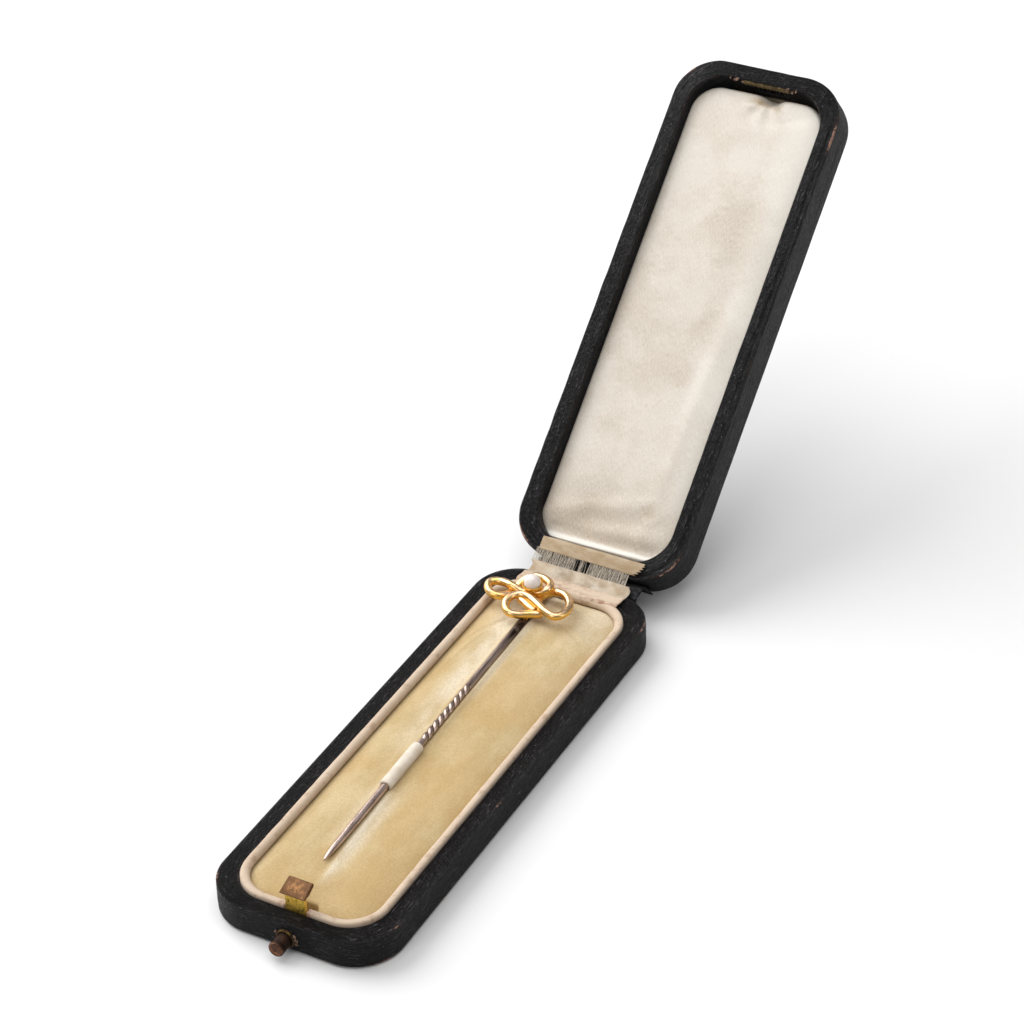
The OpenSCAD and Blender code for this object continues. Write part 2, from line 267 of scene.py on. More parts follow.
def foot_paper_material():
    made, tree, shader = new_material("brown_foot_paper")
    at = own_mm(tree, flat=False)
    pebble = add(tree, "ShaderNodeTexVoronoi", {"Vector": at, "Scale": 1.6},
                 feature="SMOOTH_F1").outputs["Distance"]
    scuffs = noise_of(tree, at, 0.12, 6, 0.65)
    tone = blend_colour(tree, scuffs, "33261c", "5c4836")
    feed(tree, shader, colour=blend_colour(tree, between(tree, scuffs, 0.58, 0.7, 0, 0.55),
                                           tone, "8c765d"),
         rough=between(tree, pebble, 0.1, 0.7, 0.55, 0.8))
    bump(tree, shader, pebble, 0.05)
    return made


def repaint(node, material):
    """A CAD part keeps its shape and takes a better finish."""
    part = nodes[node]
    part.data.materials.clear()
    part.data.materials.append(material)
    for face in part.data.polygons:
        face.material_index = 0


bare_wood = wood_material()
pasteboard = board_material()
foot_paper = foot_paper_material()
for name in ("base_frame", "lid_frame"):
    repaint(name, bare_wood)
for name in ("base_floor", "pad_board", "lid_panel", "lid_pad_board"):
    repaint(name, pasteboard)
repaint("base_foot_paper", foot_paper)

# ---------- leather cover of the base ----------
# One skin of fine-grained black leather, pasted over the wood: up the outer
# wall, over the rim, down inside behind the collar, and turned under the
# foot. It is dull on the rim, creased along the walls and rubbed brown at
# its edges.

CASE_X, CASE_Y, CASE_R = 14.1, 42.0, 7.1
POCKET_X, POCKET_Y, POCKET_R, POCKET_SHIFT = 11.35, 39.35, 5.9, -0.15
SKIN = 0.45   # thickness of the leather


def track(n_end, n_corner, n_side, cut=None):
    """Where the stations of a loop stand: its part, and how far along it.
    With cut = (left x, right x) the near end is left open there."""
    left, right = cut or (0.0, 0.0)
    part, along = [], []
    for p, n in enumerate((n_end, n_corner, n_side, n_corner, 2 * n_end,
                           n_corner, n_side, n_corner, n_end)):
        part += [p] * n
        along += [i / n for i in range(n)]
    if cut:
        part.append(8)
        along.append(1.0)
    return np.array(part), np.array(along), left, right


def loop(stations, half_x, half_y, radius, height, shift=0.0):
    """One loop round a rounded rectangle, in millimetres."""
    part, along, left, right = stations
    sx, sy = half_x - radius, half_y - radius
    x, y = np.zeros(len(part)), np.zeros(len(part))
    for p, (x0, y0, x1, y1) in {
            0: (right, -half_y, sx, -half_y), 2: (half_x, -sy, half_x, sy),
            4: (sx, half_y, -sx, half_y), 6: (-half_x, sy, -half_x, -sy),
            8: (-sx, -half_y, left, -half_y)}.items():
        here = part == p
        x[here] = x0 + (x1 - x0) * along[here]
        y[here] = y0 + (y1 - y0) * along[here]
    for p, (cx, cy, start) in {1: (sx, -sy, -90), 3: (sx, sy, 0),
                               5: (-sx, sy, 90), 7: (-sx, -sy, 180)}.items():
        here = part == p
        turn = np.radians(start + 90 * along[here])
        x[here] = cx + radius * np.cos(turn)
        y[here] = cy + radius * np.sin(turn)
    return np.stack([x, y + shift, np.full(len(x), float(height))], axis=1)


def lumps(points, size, seed=0):
    """Smooth random heights from -1 to 1, with lumps of that size."""
    q = np.asarray(points, float) / np.asarray(size, float) + seed * 17.31 + 500
    cell = np.floor(q).astype(np.int64)
    f = q - cell
    f = f * f * (3 - 2 * f)
    total = np.zeros(q.shape[:-1])
    for dx in (0, 1):
        for dy in (0, 1):
            for dz in (0, 1):
                # a hash of the corner's place stands for its random height
                h = (((cell[..., 0] + dx) * 73856093) ^ ((cell[..., 1] + dy) * 19349663)
                     ^ ((cell[..., 2] + dz) * 83492791))
                h = (h ^ (h >> 13)) * 1274126177
                h = (h ^ (h >> 16)) & 0xFFFF
                share = (np.where(dx, f[..., 0], 1 - f[..., 0])
                         * np.where(dy, f[..., 1], 1 - f[..., 1])
                         * np.where(dz, f[..., 2], 1 - f[..., 2]))
                total += share * (h / 32767.5 - 1)
    return total


def rise(value, low, high):
    """0 below low, 1 above high, smooth between."""
    t = np.clip((np.asarray(value, float) - low) / (high - low), 0, 1)
    return t * t * (3 - 2 * t)


def skin_mesh(name, grid, wrap_rows=False, wrap_cols=False, caps=False, marks=None,
              material=None, bridge=False):
    """A mesh of quads from a grid of points in millimetres, with its own
    lengths in millimetres as UV, and a value per point for each mark.
    The open ends are closed by one face each (caps), or by a row of faces
    across from side to side (bridge)."""
    grid = np.asarray(grid, float)
    rows, cols = grid.shape[:2]
    r_end, c_end = (rows if wrap_rows else rows - 1), (cols if wrap_cols else cols - 1)
    faces = []
    for r in range(r_end):
        r1 = (r + 1) % rows
        for c in range(c_end):
            c1 = (c + 1) % cols
            faces.append((r * cols + c, r * cols + c1, r1 * cols + c1, r1 * cols + c))
    step_c = np.linalg.norm(np.roll(grid, -1, 1) - grid, axis=2).mean(0)
    step_r = np.linalg.norm(np.roll(grid, -1, 0) - grid, axis=2).mean(1)
    at_c, at_r = np.r_[0, np.cumsum(step_c)], np.r_[0, np.cumsum(step_r)]
    uvs = []
    for r in range(r_end):
        for c in range(c_end):
            uvs += [(at_c[c], at_r[r]), (at_c[c + 1], at_r[r]),
                    (at_c[c + 1], at_r[r + 1]), (at_c[c], at_r[r + 1])]
    if caps:
        ends = ([range(cols), range((rows - 1) * cols, rows * cols)] if wrap_cols
                else [range(0, rows * cols, cols), range(cols - 1, rows * cols, cols)])
        for end in ends:
            faces.append(tuple(end))
            uvs += [(grid.reshape(-1, 3)[i][0], grid.reshape(-1, 3)[i][2]) for i in end]
    if bridge:
        for first in (0, (rows - 1) * cols):
            for i in range(cols // 2):
                across = dict.fromkeys((first + i, first + i + 1,
                                        first + (cols - i - 1) % cols,
                                        first + (cols - i) % cols))
                faces.append(tuple(across))
                uvs += [(at_c[min(q - first, cols - q + first)], grid.reshape(-1, 3)[q][0])
                        for q in across]
    mesh = bpy.data.meshes.new(name)
    mesh.from_pydata((grid.reshape(-1, 3) * MM).tolist(), [], faces)
    layer = mesh.uv_layers.new(name="mm")
    layer.data.foreach_set("uv", np.array(uvs, np.float32).ravel())
    for key, values in (marks or {}).items():
        made = mesh.attributes.new(key, "FLOAT", "POINT")
        made.data.foreach_set("value", np.asarray(values, np.float32).ravel())
    work = bmesh.new()
    work.from_mesh(mesh)
    bmesh.ops.recalc_face_normals(work, faces=work.faces)
    work.to_mesh(mesh)
    work.free()
    mesh.polygons.foreach_set("use_smooth", [True] * len(mesh.polygons))
    piece = bpy.data.objects.new(name, mesh)
    scene.collection.objects.link(piece)
    if material:
        mesh.materials.append(material)
    return piece


def outward(grid, where, facing):
    """Unit normals of a grid, on the side where that point's own is facing."""
    along_c = np.roll(grid, -1, 1) - np.roll(grid, 1, 1)
    along_r = np.roll(grid, -1, 0) - np.roll(grid, 1, 0)
    n = np.cross(along_c, along_r)
    n = n / np.maximum(np.linalg.norm(n, axis=2, keepdims=True), 1e-9)
    return -n if n[where] @ np.array(facing) < 0 else n


def unrolled(grid):
    """Place of each point along its loop, and across the section."""
    along = np.cumsum(np.linalg.norm(np.diff(grid, axis=1, prepend=grid[:, :1]), axis=2), 1)
    across = np.cumsum(np.linalg.norm(np.diff(grid, axis=0, prepend=grid[:1]), axis=2), 0)
    return np.stack([along, across, np.zeros(along.shape)], axis=-1)


def effect_group(name, amount, results):
    """A node group from a place and one amount to values over the surface."""
    group = bpy.data.node_groups.new(name, "ShaderNodeTree")
    group.interface.new_socket("Place", in_out="INPUT", socket_type="NodeSocketVector")
    group.interface.new_socket(amount, in_out="INPUT", socket_type="NodeSocketFloat")
    for output in results:
        group.interface.new_socket(output, in_out="OUTPUT", socket_type="NodeSocketFloat")
    return group, group.nodes.new("NodeGroupInput"), group.nodes.new("NodeGroupOutput")


# grain of the leather: fine pebbles with fibrous strokes laid across them
grain_group, inside, result = effect_group("leather_grain", "Pebble", ("Height", "Dust_and_highlight"))
place = inside.outputs["Place"]
pebbles = add(grain_group, "ShaderNodeTexVoronoi",
              {"Vector": place, "Scale": inside.outputs["Pebble"], "Smoothness": 0.4},
              feature="SMOOTH_F1").outputs["Distance"]
strokes = noise_of(grain_group, place, 1.0, 5, 0.6, stretch=(0.5, 3.4, 1), turn=17)
counter = noise_of(grain_group, place, 1.0, 5, 0.6, stretch=(0.6, 3.8, 1), turn=-21)
patch = noise_of(grain_group, place, 0.35, 3, 0.5)
fibre = maths(grain_group, "MAXIMUM", between(grain_group, strokes, 0.56, 0.7),
              between(grain_group, counter, 0.58, 0.72))
fibre = maths(grain_group, "MULTIPLY", fibre, between(grain_group, patch, 0.35, 0.62))
ridges = maths(grain_group, "MAXIMUM", strokes, counter)
height = maths(grain_group, "ADD", maths(grain_group, "MULTIPLY", pebbles, 0.5),
               maths(grain_group, "MULTIPLY", ridges, 2.4))
specks = noise_of(grain_group, place, 2.6, 2, 0.5)
grain_group.links.new(height, result.inputs["Height"])
# pale marks: dust and scratched fibres, and painted highlights along the raised ridges
dust_and_highlight = maths(grain_group, "MAXIMUM", maths(grain_group, "MULTIPLY", fibre, 0.8),
             between(grain_group, specks, 0.66, 0.74))
grain_group.links.new(dust_and_highlight, result.inputs["Dust_and_highlight"])

# places where an edge is rubbed through, from a painted mark and noise
rub_group, inside, result = effect_group("rubbed_edge", "Rub", ("Bare", "Brown"))
broad = noise_of(rub_group, inside.outputs["Place"], 0.13, 2, 0.5, stretch=(1, 0.4, 1))
fine = noise_of(rub_group, inside.outputs["Place"], 1.7, 4, 0.65)
wear = maths(rub_group, "MULTIPLY", inside.outputs["Rub"],
             maths(rub_group, "ADD", maths(rub_group, "MULTIPLY", broad, 0.9),
                   maths(rub_group, "MULTIPLY", fine, 0.8)))
rub_group.links.new(between(rub_group, wear, 0.88, 0.95), result.inputs["Bare"])
rub_group.links.new(between(rub_group, wear, 0.62, 0.86), result.inputs["Brown"])


def black_leather(name, dull, pebble, bump_mm):
    """Fine-grained black leather, with its rubbed places, and pale dust with painted highlights
    on the ridges of its grain.
    """
    made, tree, shader = new_material(name)
    at = own_mm(tree)
    grain = add(tree, "ShaderNodeGroup", {"Place": at, "Pebble": pebble},
                node_tree=grain_group)
    rubbed = add(tree, "ShaderNodeGroup", {"Place": at, "Rub": mark(tree, "rub")},
                 node_tree=rub_group)
    shade = noise_of(tree, at, 0.2, 4, 0.6)
    wall = mark(tree, "wall")
    colour = blend_colour(tree, shade, "050406", "0c0b0d")
    colour = blend_colour(tree, maths(tree, "MULTIPLY", wall, 0.4), colour, "131214")
    # the pale marks lighten the black: dust, and painted highlights on the ridges
    colour = blend_colour(tree, maths(tree, "MULTIPLY", grain.outputs["Dust_and_highlight"], 0.55),
                          colour, "8a858b")
    colour = blend_colour(tree, maths(tree, "MULTIPLY", rubbed.outputs["Brown"], 0.7),
                          colour, "3c2b26")
    colour = blend_colour(tree, rubbed.outputs["Bare"], colour, "a5806e")
    rough = maths(tree, "ADD",
                  between(tree, grain.outputs["Height"], 0.1, 0.9, dull, dull - 0.16),
                  maths(tree, "MULTIPLY", rubbed.outputs["Brown"], 0.15))
    rough = maths(tree, "ADD", rough, maths(tree, "MULTIPLY", wall, 0.25))
    feed(tree, shader, colour=colour, rough=rough)
    fixed(shader, gloss=0.2)
    bump(tree, shader, grain.outputs["Height"], bump_mm)
    return made


case_leather = black_leather("black_case_leather", 0.48, 2.3, 0.55)


def between_loops(stations, share, height, inset=0.0):
    """A loop between the case's outer wall (0) and the base's pocket (1)."""
    return loop(stations,
                CASE_X + (POCKET_X - CASE_X) * share - inset,
                CASE_Y + (POCKET_Y - CASE_Y) * share - inset,
                CASE_R + (POCKET_R - CASE_R) * share - inset,
                height, POCKET_SHIFT * share)


base_track = track(12, 16, 170)
# section of the skin: share of the way to the pocket, height, inset
base_section = (
    [(0, 0.0, 2.2), (0, 0.0, 1.6), (0, 0.0, 1.0), (0, 0.02, 0.6), (0, 0.09, 0.3),
     (0, 0.24, 0.1), (0, 0.45, 0.01)]
    + [(0, z, 0.0) for z in (0.8, 1.15, 1.5, 1.85, 2.2, 2.55, 2.9, 3.25, 3.6, 3.9, 4.15)]
    + [(0, 4.38, 0.02), (0, 4.54, 0.08), (0, 4.64, 0.2), (0, 4.69, 0.36)]
    + [(s, 4.7, 0.0) for s in (0.22, 0.3, 0.38, 0.46, 0.54, 0.62, 0.7, 0.78, 0.85)]
    + [(0.91, 4.69, 0), (0.96, 4.65, 0), (0.99, 4.57, 0), (1, 4.42, 0), (1, 3.4, 0),
       (1, 2.3, 0), (1, 1.2, 0), (0.94, 1.2, 0), (0.94, 3.0, 0), (0.94, 4.25, 0),
       (0.5, 4.25, 0), (0, 4.25, SKIN), (0, 2.4, SKIN), (0, 0.36, SKIN),
       (0, 0.36, 1.4), (0, 0.36, 2.2)])
base_grid = np.stack([between_loops(base_track, s, z, i) for s, z, i in base_section])
shell = outward(base_grid, (12, 5), (0, -1, 0))
# rows of the section: wall, rim, and the edges where the leather is rubbed
WALL_ROWS, RIM_ROWS = slice(6, 19), slice(20, 32)
FOOT_EDGE, TOP_EDGE, POCKET_EDGE = slice(3, 8), slice(17, 24), slice(30, 34)
heights = base_grid[..., 2]
outer_wall = np.zeros(heights.shape)
outer_wall[WALL_ROWS] = 1
rim_top = np.zeros(heights.shape)
rim_top[RIM_ROWS] = 1
# long creases along the wall, small dents in the rim
at = unrolled(base_grid)
crease = lumps(at, (9.0, 0.55, 1), 3) * 0.6 + lumps(at, (4.0, 0.4, 1), 5) * 0.4
dents = lumps(base_grid, 1.6, 8) * 0.3 + lumps(at, (2.2, 0.45, 1), 9) * 0.7
base_grid = base_grid + shell * (outer_wall * (crease * 0.05 - 0.04)
                                 + rim_top * (dents * 0.05 - 0.035))[..., None]
# the ribbon lies in a shallow step over the back rim
under_ribbon = (rise(base_grid[..., 1], 38.9, 39.3)
                * rise(8.6 - np.abs(base_grid[..., 0]), 0, 0.3) * rise(heights, 4.3, 4.5))
base_grid[..., 2] -= under_ribbon * 0.16
rub = np.zeros(heights.shape)
rub[TOP_EDGE] = np.array([0.35, 0.6, 0.95, 1, 0.9, 0.6, 0.25])[:, None]
rub[POCKET_EDGE] = np.array([0.4, 0.75, 0.8, 0.5])[:, None]
rub[FOOT_EDGE] = np.array([0.5, 0.9, 1, 0.85, 0.4])[:, None]


def near_spots(grid, spots):
    """1 at each spot (x, y, reach), falling away from it."""
    total = np.zeros(grid.shape[:2])
    for sx, sy, reach in spots:
        total += np.exp(-((grid[..., 0] - sx) ** 2 + (grid[..., 1] - sy) ** 2) / reach ** 2)
    return np.clip(total, 0, 1)


rub[TOP_EDGE] *= 0.55 + 0.5 * near_spots(base_grid[TOP_EDGE], (
    (14, 36, 3), (13.5, -36, 2), (14, -8, 2), (-13.5, -38, 2.5), (-12, 39, 3)))
rub[FOOT_EDGE] *= 0.5 + 0.6 * near_spots(base_grid[FOOT_EDGE], (
    (13.5, -38, 5), (6, -42, 2), (14, 10, 3), (14, -25, 4), (-13, 38, 5)))
base_cover = skin_mesh("base_leather_cover", base_grid, wrap_rows=True, wrap_cols=True,
                       marks={"rub": rub, "wall": outer_wall}, material=case_leather)
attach(base_cover, "case_base")
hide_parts("base_leather")

# ---------- collar round the pocket ----------
# A lip of thin cream kid over card stands a little above the black rim. Its
# top is rounded, and it is cut away at the front for the catch.

COLLAR_CUT = (-1.55, 1.85)
COLLAR_GAP = 0.08
collar_track = track(22, 16, 170, cut=COLLAR_CUT)
collar_section = [(0.0, 1.2), (0.0, 2.4), (0.0, 3.6), (0.0, 4.3), (0.02, 4.75), (0.08, 4.98),
                  (0.22, 5.12), (0.45, 5.17), (0.7, 5.15), (0.92, 5.06), (1.1, 4.9),
                  (1.22, 4.68), (1.26, 4.4), (1.2, 4.1), (0.95, 3.9), (0.87, 2.6), (0.87, 1.2)]
collar_grid = np.stack([
    loop(collar_track, POCKET_X - COLLAR_GAP - i, POCKET_Y - COLLAR_GAP - i,
         POCKET_R - COLLAR_GAP - i * 0.75, z, POCKET_SHIFT) for i, z in collar_section])
shell = outward(collar_grid, (7, 60), (0, 0, 1))
top_part = rise(collar_grid[..., 2], 4.2, 4.9)[..., None]
collar_grid += shell * top_part * (lumps(collar_grid, 2.2, 21) * 0.035
                                   + lumps(collar_grid, 0.6, 22) * 0.012)[..., None]
# ragged where the kid was cut at the catch
for end, sign in ((0, -1), (-1, 1)):
    for step in range(3):
        c = end + (step if end == 0 else -step)
        fray = lumps(collar_grid[:, c] * 2.1 + 7 * step, 0.5, 25 + sign) * 0.16
        collar_grid[:, c, 0] += sign * (fray - 0.1) * (1 - step / 3)


def kid_material():
    made, tree, shader = new_material("cream_kid")
    at = own_mm(tree)
    space = own_mm(tree, flat=False)
    pores = noise_of(tree, at, 5.0, 4, 0.6)
    tone = noise_of(tree, space, 0.12, 4, 0.6)
    stain_and_shade = mark(tree, "stain_and_shade")
    colour = blend_colour(tree, tone, "b49c84", "d2c0ab")
    colour = blend_colour(tree, between(tree, noise_of(tree, space, 0.7, 5, 0.65),
                                        0.5, 0.7, 0, 0.55), colour, "957559")
    # this mark browns the kid: real stains, and painted shade low on the collar's inner face
    colour = blend_colour(tree, maths(tree, "MULTIPLY", stain_and_shade, between(
        tree, noise_of(tree, space, 1.4, 5, 0.7), 0.35, 0.6)), colour, "8a5a3c")
    feed(tree, shader, colour=colour, rough=between(tree, pores, 0.3, 0.7, 0.62, 0.78))
    fixed(shader, gloss=0.35, sheen=0.15)
    bump(tree, shader, pores, 0.02)
    return made


cream_kid = kid_material()
x, y, z = collar_grid[..., 0], collar_grid[..., 1], collar_grid[..., 2]
# brown stains by the cut ends at the catch, and painted shade low on the inner face where the
# collar meets the velvet
stain_and_shade = (rise(0.9 - np.hypot(x - 2.3, y + 39.2), 0, 0.8) * 0.8
         + rise(0.9 - np.hypot(x + 2.0, y + 39.2), 0, 0.8) * 0.6
         + rise(4.45 - z, 0, 0.3) * 0.2)
collar = skin_mesh("collar_lip", collar_grid, wrap_rows=True, caps=True,
                   marks={"stain_and_shade": np.clip(stain_and_shade, 0, 1)}, material=cream_kid)
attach(collar, "case_base")
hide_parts("base_collar")

# the kid runs on over the back rim, as a thin tongue under the ribbon
TONGUE_THICK = 0.1
tongue_x = np.linspace(-8.75, 8.2, 60)
tongue_line = ((38.15, 5.05), (38.3, 5.17), (38.6, 5.24), (38.9, 5.21), (39.2, 5.13),
               (39.5, 5.05), (39.8, 4.99), (40.1, 4.95), (40.4, 4.93), (40.7, 4.91),
               (40.95, 4.88), (41.1, 4.84))
tongue_grid = np.array([[(tx, ty, tz) for tx in tongue_x]
                        + [(tx, ty, tz - TONGUE_THICK) for tx in tongue_x[::-1]]
                        for ty, tz in tongue_line])
tongue_grid[..., 2] += lumps(tongue_grid * np.array([1, 4.5, 0]), (4, 1.3, 1), 27) * 0.05
tongue_stain = np.clip(0.3 + 0.5 * lumps(tongue_grid, (4, 0.5, 4), 28), 0, 1)
tongue = skin_mesh("collar_tongue", tongue_grid, wrap_cols=True, caps=True,
                   marks={"stain_and_shade": tongue_stain}, material=cream_kid)
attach(tongue, "case_base")
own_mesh(tongue)

# ---------- velvet pad ----------
# Cream-ochre cotton velvet glued over a crowned pad that fills the pocket.
# The stem has pressed a groove in it; the pile is rubbed pale beside the
# stem, and it is creased at the back and along the left side.

PAD_X, PAD_Y, PAD_R = 10.33, 38.33, 5.0
PAD_FOOT, PAD_EDGE, PAD_CROWN = 1.97, 3.75, 1.12
CATCH_X = 0.2
STEM_TIP = np.array([-1.3, -29.8, 5.4])
STEM_TURN = math.radians(1.16)
STEM_ALONG = np.array([-math.sin(STEM_TURN), math.cos(STEM_TURN), 0.0])


def pad_grid(half_x, half_y, radius, n_across, n_along, shift):
    """Plan of a pad as a grid: rows along the case, closer at the edges."""
    v = np.linspace(-1, 1, n_along)
    v = np.sign(v) * (1 - (1 - np.abs(v)) ** 1.12)
    u = np.linspace(-1, 1, n_across)
    u = np.sign(u) * (1 - (1 - np.abs(u)) ** 1.25)
    y = v * half_y
    over = np.clip(np.abs(y) - (half_y - radius), 0, radius)
    width = half_x - radius + np.sqrt(np.maximum(radius ** 2 - over ** 2, 0))
    x = u[None, :] * width[:, None]
    y = np.broadcast_to(y[:, None], x.shape)
    return x, y + shift


def bell(offset, width):
    """1 where the offset is nothing, falling away over about that width."""
    return np.exp(-(offset / width) ** 2)


def edge_distance(x, y, half_x, half_y, radius, shift):
    """How far inside the pad's rounded outline a point lies."""
    qx = np.abs(x) - (half_x - radius)
    qy = np.abs(y - shift) - (half_y - radius)
    far = np.hypot(np.maximum(qx, 0), np.maximum(qy, 0)) + np.minimum(np.maximum(qx, qy), 0)
    return radius - far


x, y = pad_grid(PAD_X, PAD_Y, PAD_R, 110, 380, POCKET_SHIFT)
inside_edge = np.clip(edge_distance(x, y, PAD_X, PAD_Y, PAD_R, POCKET_SHIFT), 0, None)
crown = 1 - (1 - np.clip(inside_edge / 5.5, 0, 1)) ** 2.6
z = PAD_EDGE + PAD_CROWN * crown
flat_place = np.stack([x, y, np.zeros(x.shape)], axis=-1)
z += lumps(flat_place, 7.0, 31) * 0.07 * crown + lumps(flat_place, 2.4, 32) * 0.03 * crown
along_stem = (x - STEM_TIP[0]) * STEM_ALONG[0] + (y - STEM_TIP[1]) * STEM_ALONG[1]
beside_stem = (x - STEM_TIP[0]) * STEM_ALONG[1] - (y - STEM_TIP[1]) * STEM_ALONG[0]
# the groove: banks on both sides of the stem, deeper towards the head
length_of_groove = rise(along_stem, 26, 36) * (1 - rise(along_stem, 59.5, 61.5))
bank = bell(np.abs(beside_stem) - 0.85, 0.42)
valley = bell(beside_stem, 0.42)
z += length_of_groove * (0.42 * bank - 0.02 * valley)
z += (1 - length_of_groove) * rise(along_stem, -1, 3) * (0.1 * bank)
# a fold of the pile beside the point, and creases by the head
fold = (bell(beside_stem - 1.5 + 0.03 * along_stem, 0.55)
        * rise(along_stem, -5.5, 1) * (1 - rise(along_stem, 15, 19)))
z += 0.16 * fold
hollow = (bell(beside_stem - 0.7, 0.3) * rise(along_stem, -5, 1)
          * (1 - rise(along_stem, 12, 16)))
z -= 0.07 * hollow
# each crease: its middle, its turn in degrees, its half length and its depth
for cx, cy, turn, reach, depth in (
        (3.2, 34.6, -14, 4.6, 0.2), (-3.2, 35.2, 12, 4.0, 0.12), (4.4, 30.4, -32, 3.6, 0.12),
        (-6.6, 26.5, 62, 5.5, 0.1), (-7.4, 20.0, 80, 6.5, 0.08), (3.5, 27.2, -20, 2.8, 0.06)):
    a = math.radians(turn)
    lengthwise = (x - cx) * math.cos(a) + (y - cy) * math.sin(a)
    sideways = (-(x - cx) * math.sin(a) + (y - cy) * math.cos(a)
                + 0.05 * lengthwise ** 2 / reach)
    z -= (depth * (bell(sideways, 0.32) - 0.6 * bell(sideways - 0.7, 0.45))
          * np.exp(-(lengthwise / reach) ** 4))
# kept low under the catch's nose
at_catch = rise(2.5 - np.abs(x - CATCH_X), 0, 0.5) * rise(-37.1 - y, 0, 0.4)
z = z * (1 - at_catch) + np.minimum(z, 2.4) * at_catch
worn = (0.9 * bell(beside_stem + 2.4, 1.9) * rise(along_stem, 20, 40)
        + 0.8 * bell(beside_stem - 1.1, 0.6) * rise(along_stem, 30, 50)
        + 0.9 * fold + 0.45 * rise(y, 24, 36)
        + 0.5 * bell(beside_stem + 1.2, 0.9) * (1 - rise(along_stem, 12, 22))
        * rise(along_stem, 2, 10)
        + 0.6 * bell(beside_stem - 2.3, 1.0) * rise(along_stem, -5, 3)
        * (1 - rise(along_stem, 13, 19))
        + 0.25 * bell(x - 6.5, 2.5) * rise(y, 5, 20))
tarnish = (bell(beside_stem, 0.75) * rise(along_stem, 50, 60) * 0.9
           + bell(beside_stem - 0.5, 0.35) * rise(along_stem, 30, 44) * 0.35)
# cut back behind the catch, which moves into the pad when it is pressed
NOTCH_HALF, NOTCH_FROM, NOTCH_SHARE = 2.3, -36.5, 0.56
notch = rise(NOTCH_HALF - np.abs(x - CATCH_X), 0, 0.35)
y = np.where(y < NOTCH_FROM, NOTCH_FROM + (y - NOTCH_FROM) * (1 - NOTCH_SHARE * notch), y)
pad_top = np.stack([x, y, z], axis=-1)
pad_low = pad_top.copy()
pad_low[..., 2] = PAD_FOOT


def closed_pad(name, top, low, marks, material):
    """A pad as one closed skin: its top, and a plain underside, edge to edge."""
    rows, cols = top.shape[:2]
    grid = np.concatenate([low[:, ::-1], top], axis=1)
    both = {k: np.concatenate([v[:, ::-1] * 0, v], axis=1) for k, v in marks.items()}
    return skin_mesh(name, grid, wrap_cols=True, caps=True, marks=both, material=material)


def velvet_material():
    made, tree, shader = new_material("ochre_velvet")
    space = own_mm(tree, flat=False)
    pile = noise_of(tree, space, 3.6, 5, 0.75)
    brushed = noise_of(tree, space, 0.22, 5, 0.6, stretch=(1.0, 0.45, 1.0))
    patches = noise_of(tree, space, 0.09, 3, 0.5)
    tone = blend_colour(tree, between(tree, brushed, 0.35, 0.68), "bca478",
                        "cdb890")
    tone = blend_colour(tree, between(tree, patches, 0.42, 0.62, 0, 0.5), tone,
                        "bf9f6c")
    pale = maths(tree, "MULTIPLY", mark(tree, "worn"),
                 between(tree, brushed, 0.28, 0.6, 0.35, 1.0), clamp=True)
    tone = blend_colour(tree, pale, tone, "e2d6bf")
    tone = blend_colour(tree, mark(tree, "tarnish"), tone, "6d543a")
    tone = blend_colour(tree, between(tree, pile, 0.35, 0.65, 0.0, 0.3), tone,
                        "8f774b")
    feed(tree, shader, colour=tone, rough=between(tree, pile, 0.3, 0.7, 0.85, 0.98))
    fixed(shader, gloss=0.12, sheen=0.3, sheen_rough=0.45, sheen_tint=linear("f1e2c0"))
    bump(tree, shader, pile, 0.12, 0.9)
    return made


ochre_velvet = velvet_material()
velvet = closed_pad("velvet_pad_cover", pad_top, pad_low,
                    {"worn": np.clip(worn, 0, 1), "tarnish": np.clip(tarnish, 0, 1)},
                    ochre_velvet)
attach(velvet, "case_base")
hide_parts("velvet_pad")

# ---------- band that holds the stem ----------
# A loop of cream ribbed silk, drawn through the velvet on both sides of the
# stem and pasted down underneath.

BAND_FROM, BAND_TO, BAND_RINGS = 17.0, 26.4, 48
BAND_R, BAND_INNER = 0.9, (0.64, 0.6)
loop_angles = np.radians(np.linspace(-38, 218, 26))
band_rows = []
for i in range(BAND_RINGS):
    s = BAND_FROM + (BAND_TO - BAND_FROM) * i / (BAND_RINGS - 1)
    end = min(i, BAND_RINGS - 1 - i)
    puff = 0.03 * min(1, end / 3) + 0.012 * math.sin(i * 1.9)
    ring = []
    for a in loop_angles:
        r = BAND_R + puff + 0.012 * math.sin(a * 3 + i * 0.2)
        ring.append((r * 1.03 * math.cos(a), s, r * math.sin(a)))
    for a in loop_angles[::-1]:
        ring.append((BAND_INNER[0] * math.cos(a), s, BAND_INNER[1] * math.sin(a)))
    band_rows.append(ring)
band_grid = np.array(band_rows)


def laid_on_stem(points):
    """From the stem's own axis to where the pin lies."""
    p = np.asarray(points, float)
    c, s = math.cos(STEM_TURN), math.sin(STEM_TURN)
    return np.stack([p[..., 0] * c - p[..., 1] * s + STEM_TIP[0],
                     p[..., 0] * s + p[..., 1] * c + STEM_TIP[1],
                     p[..., 2] + STEM_TIP[2]], axis=-1)


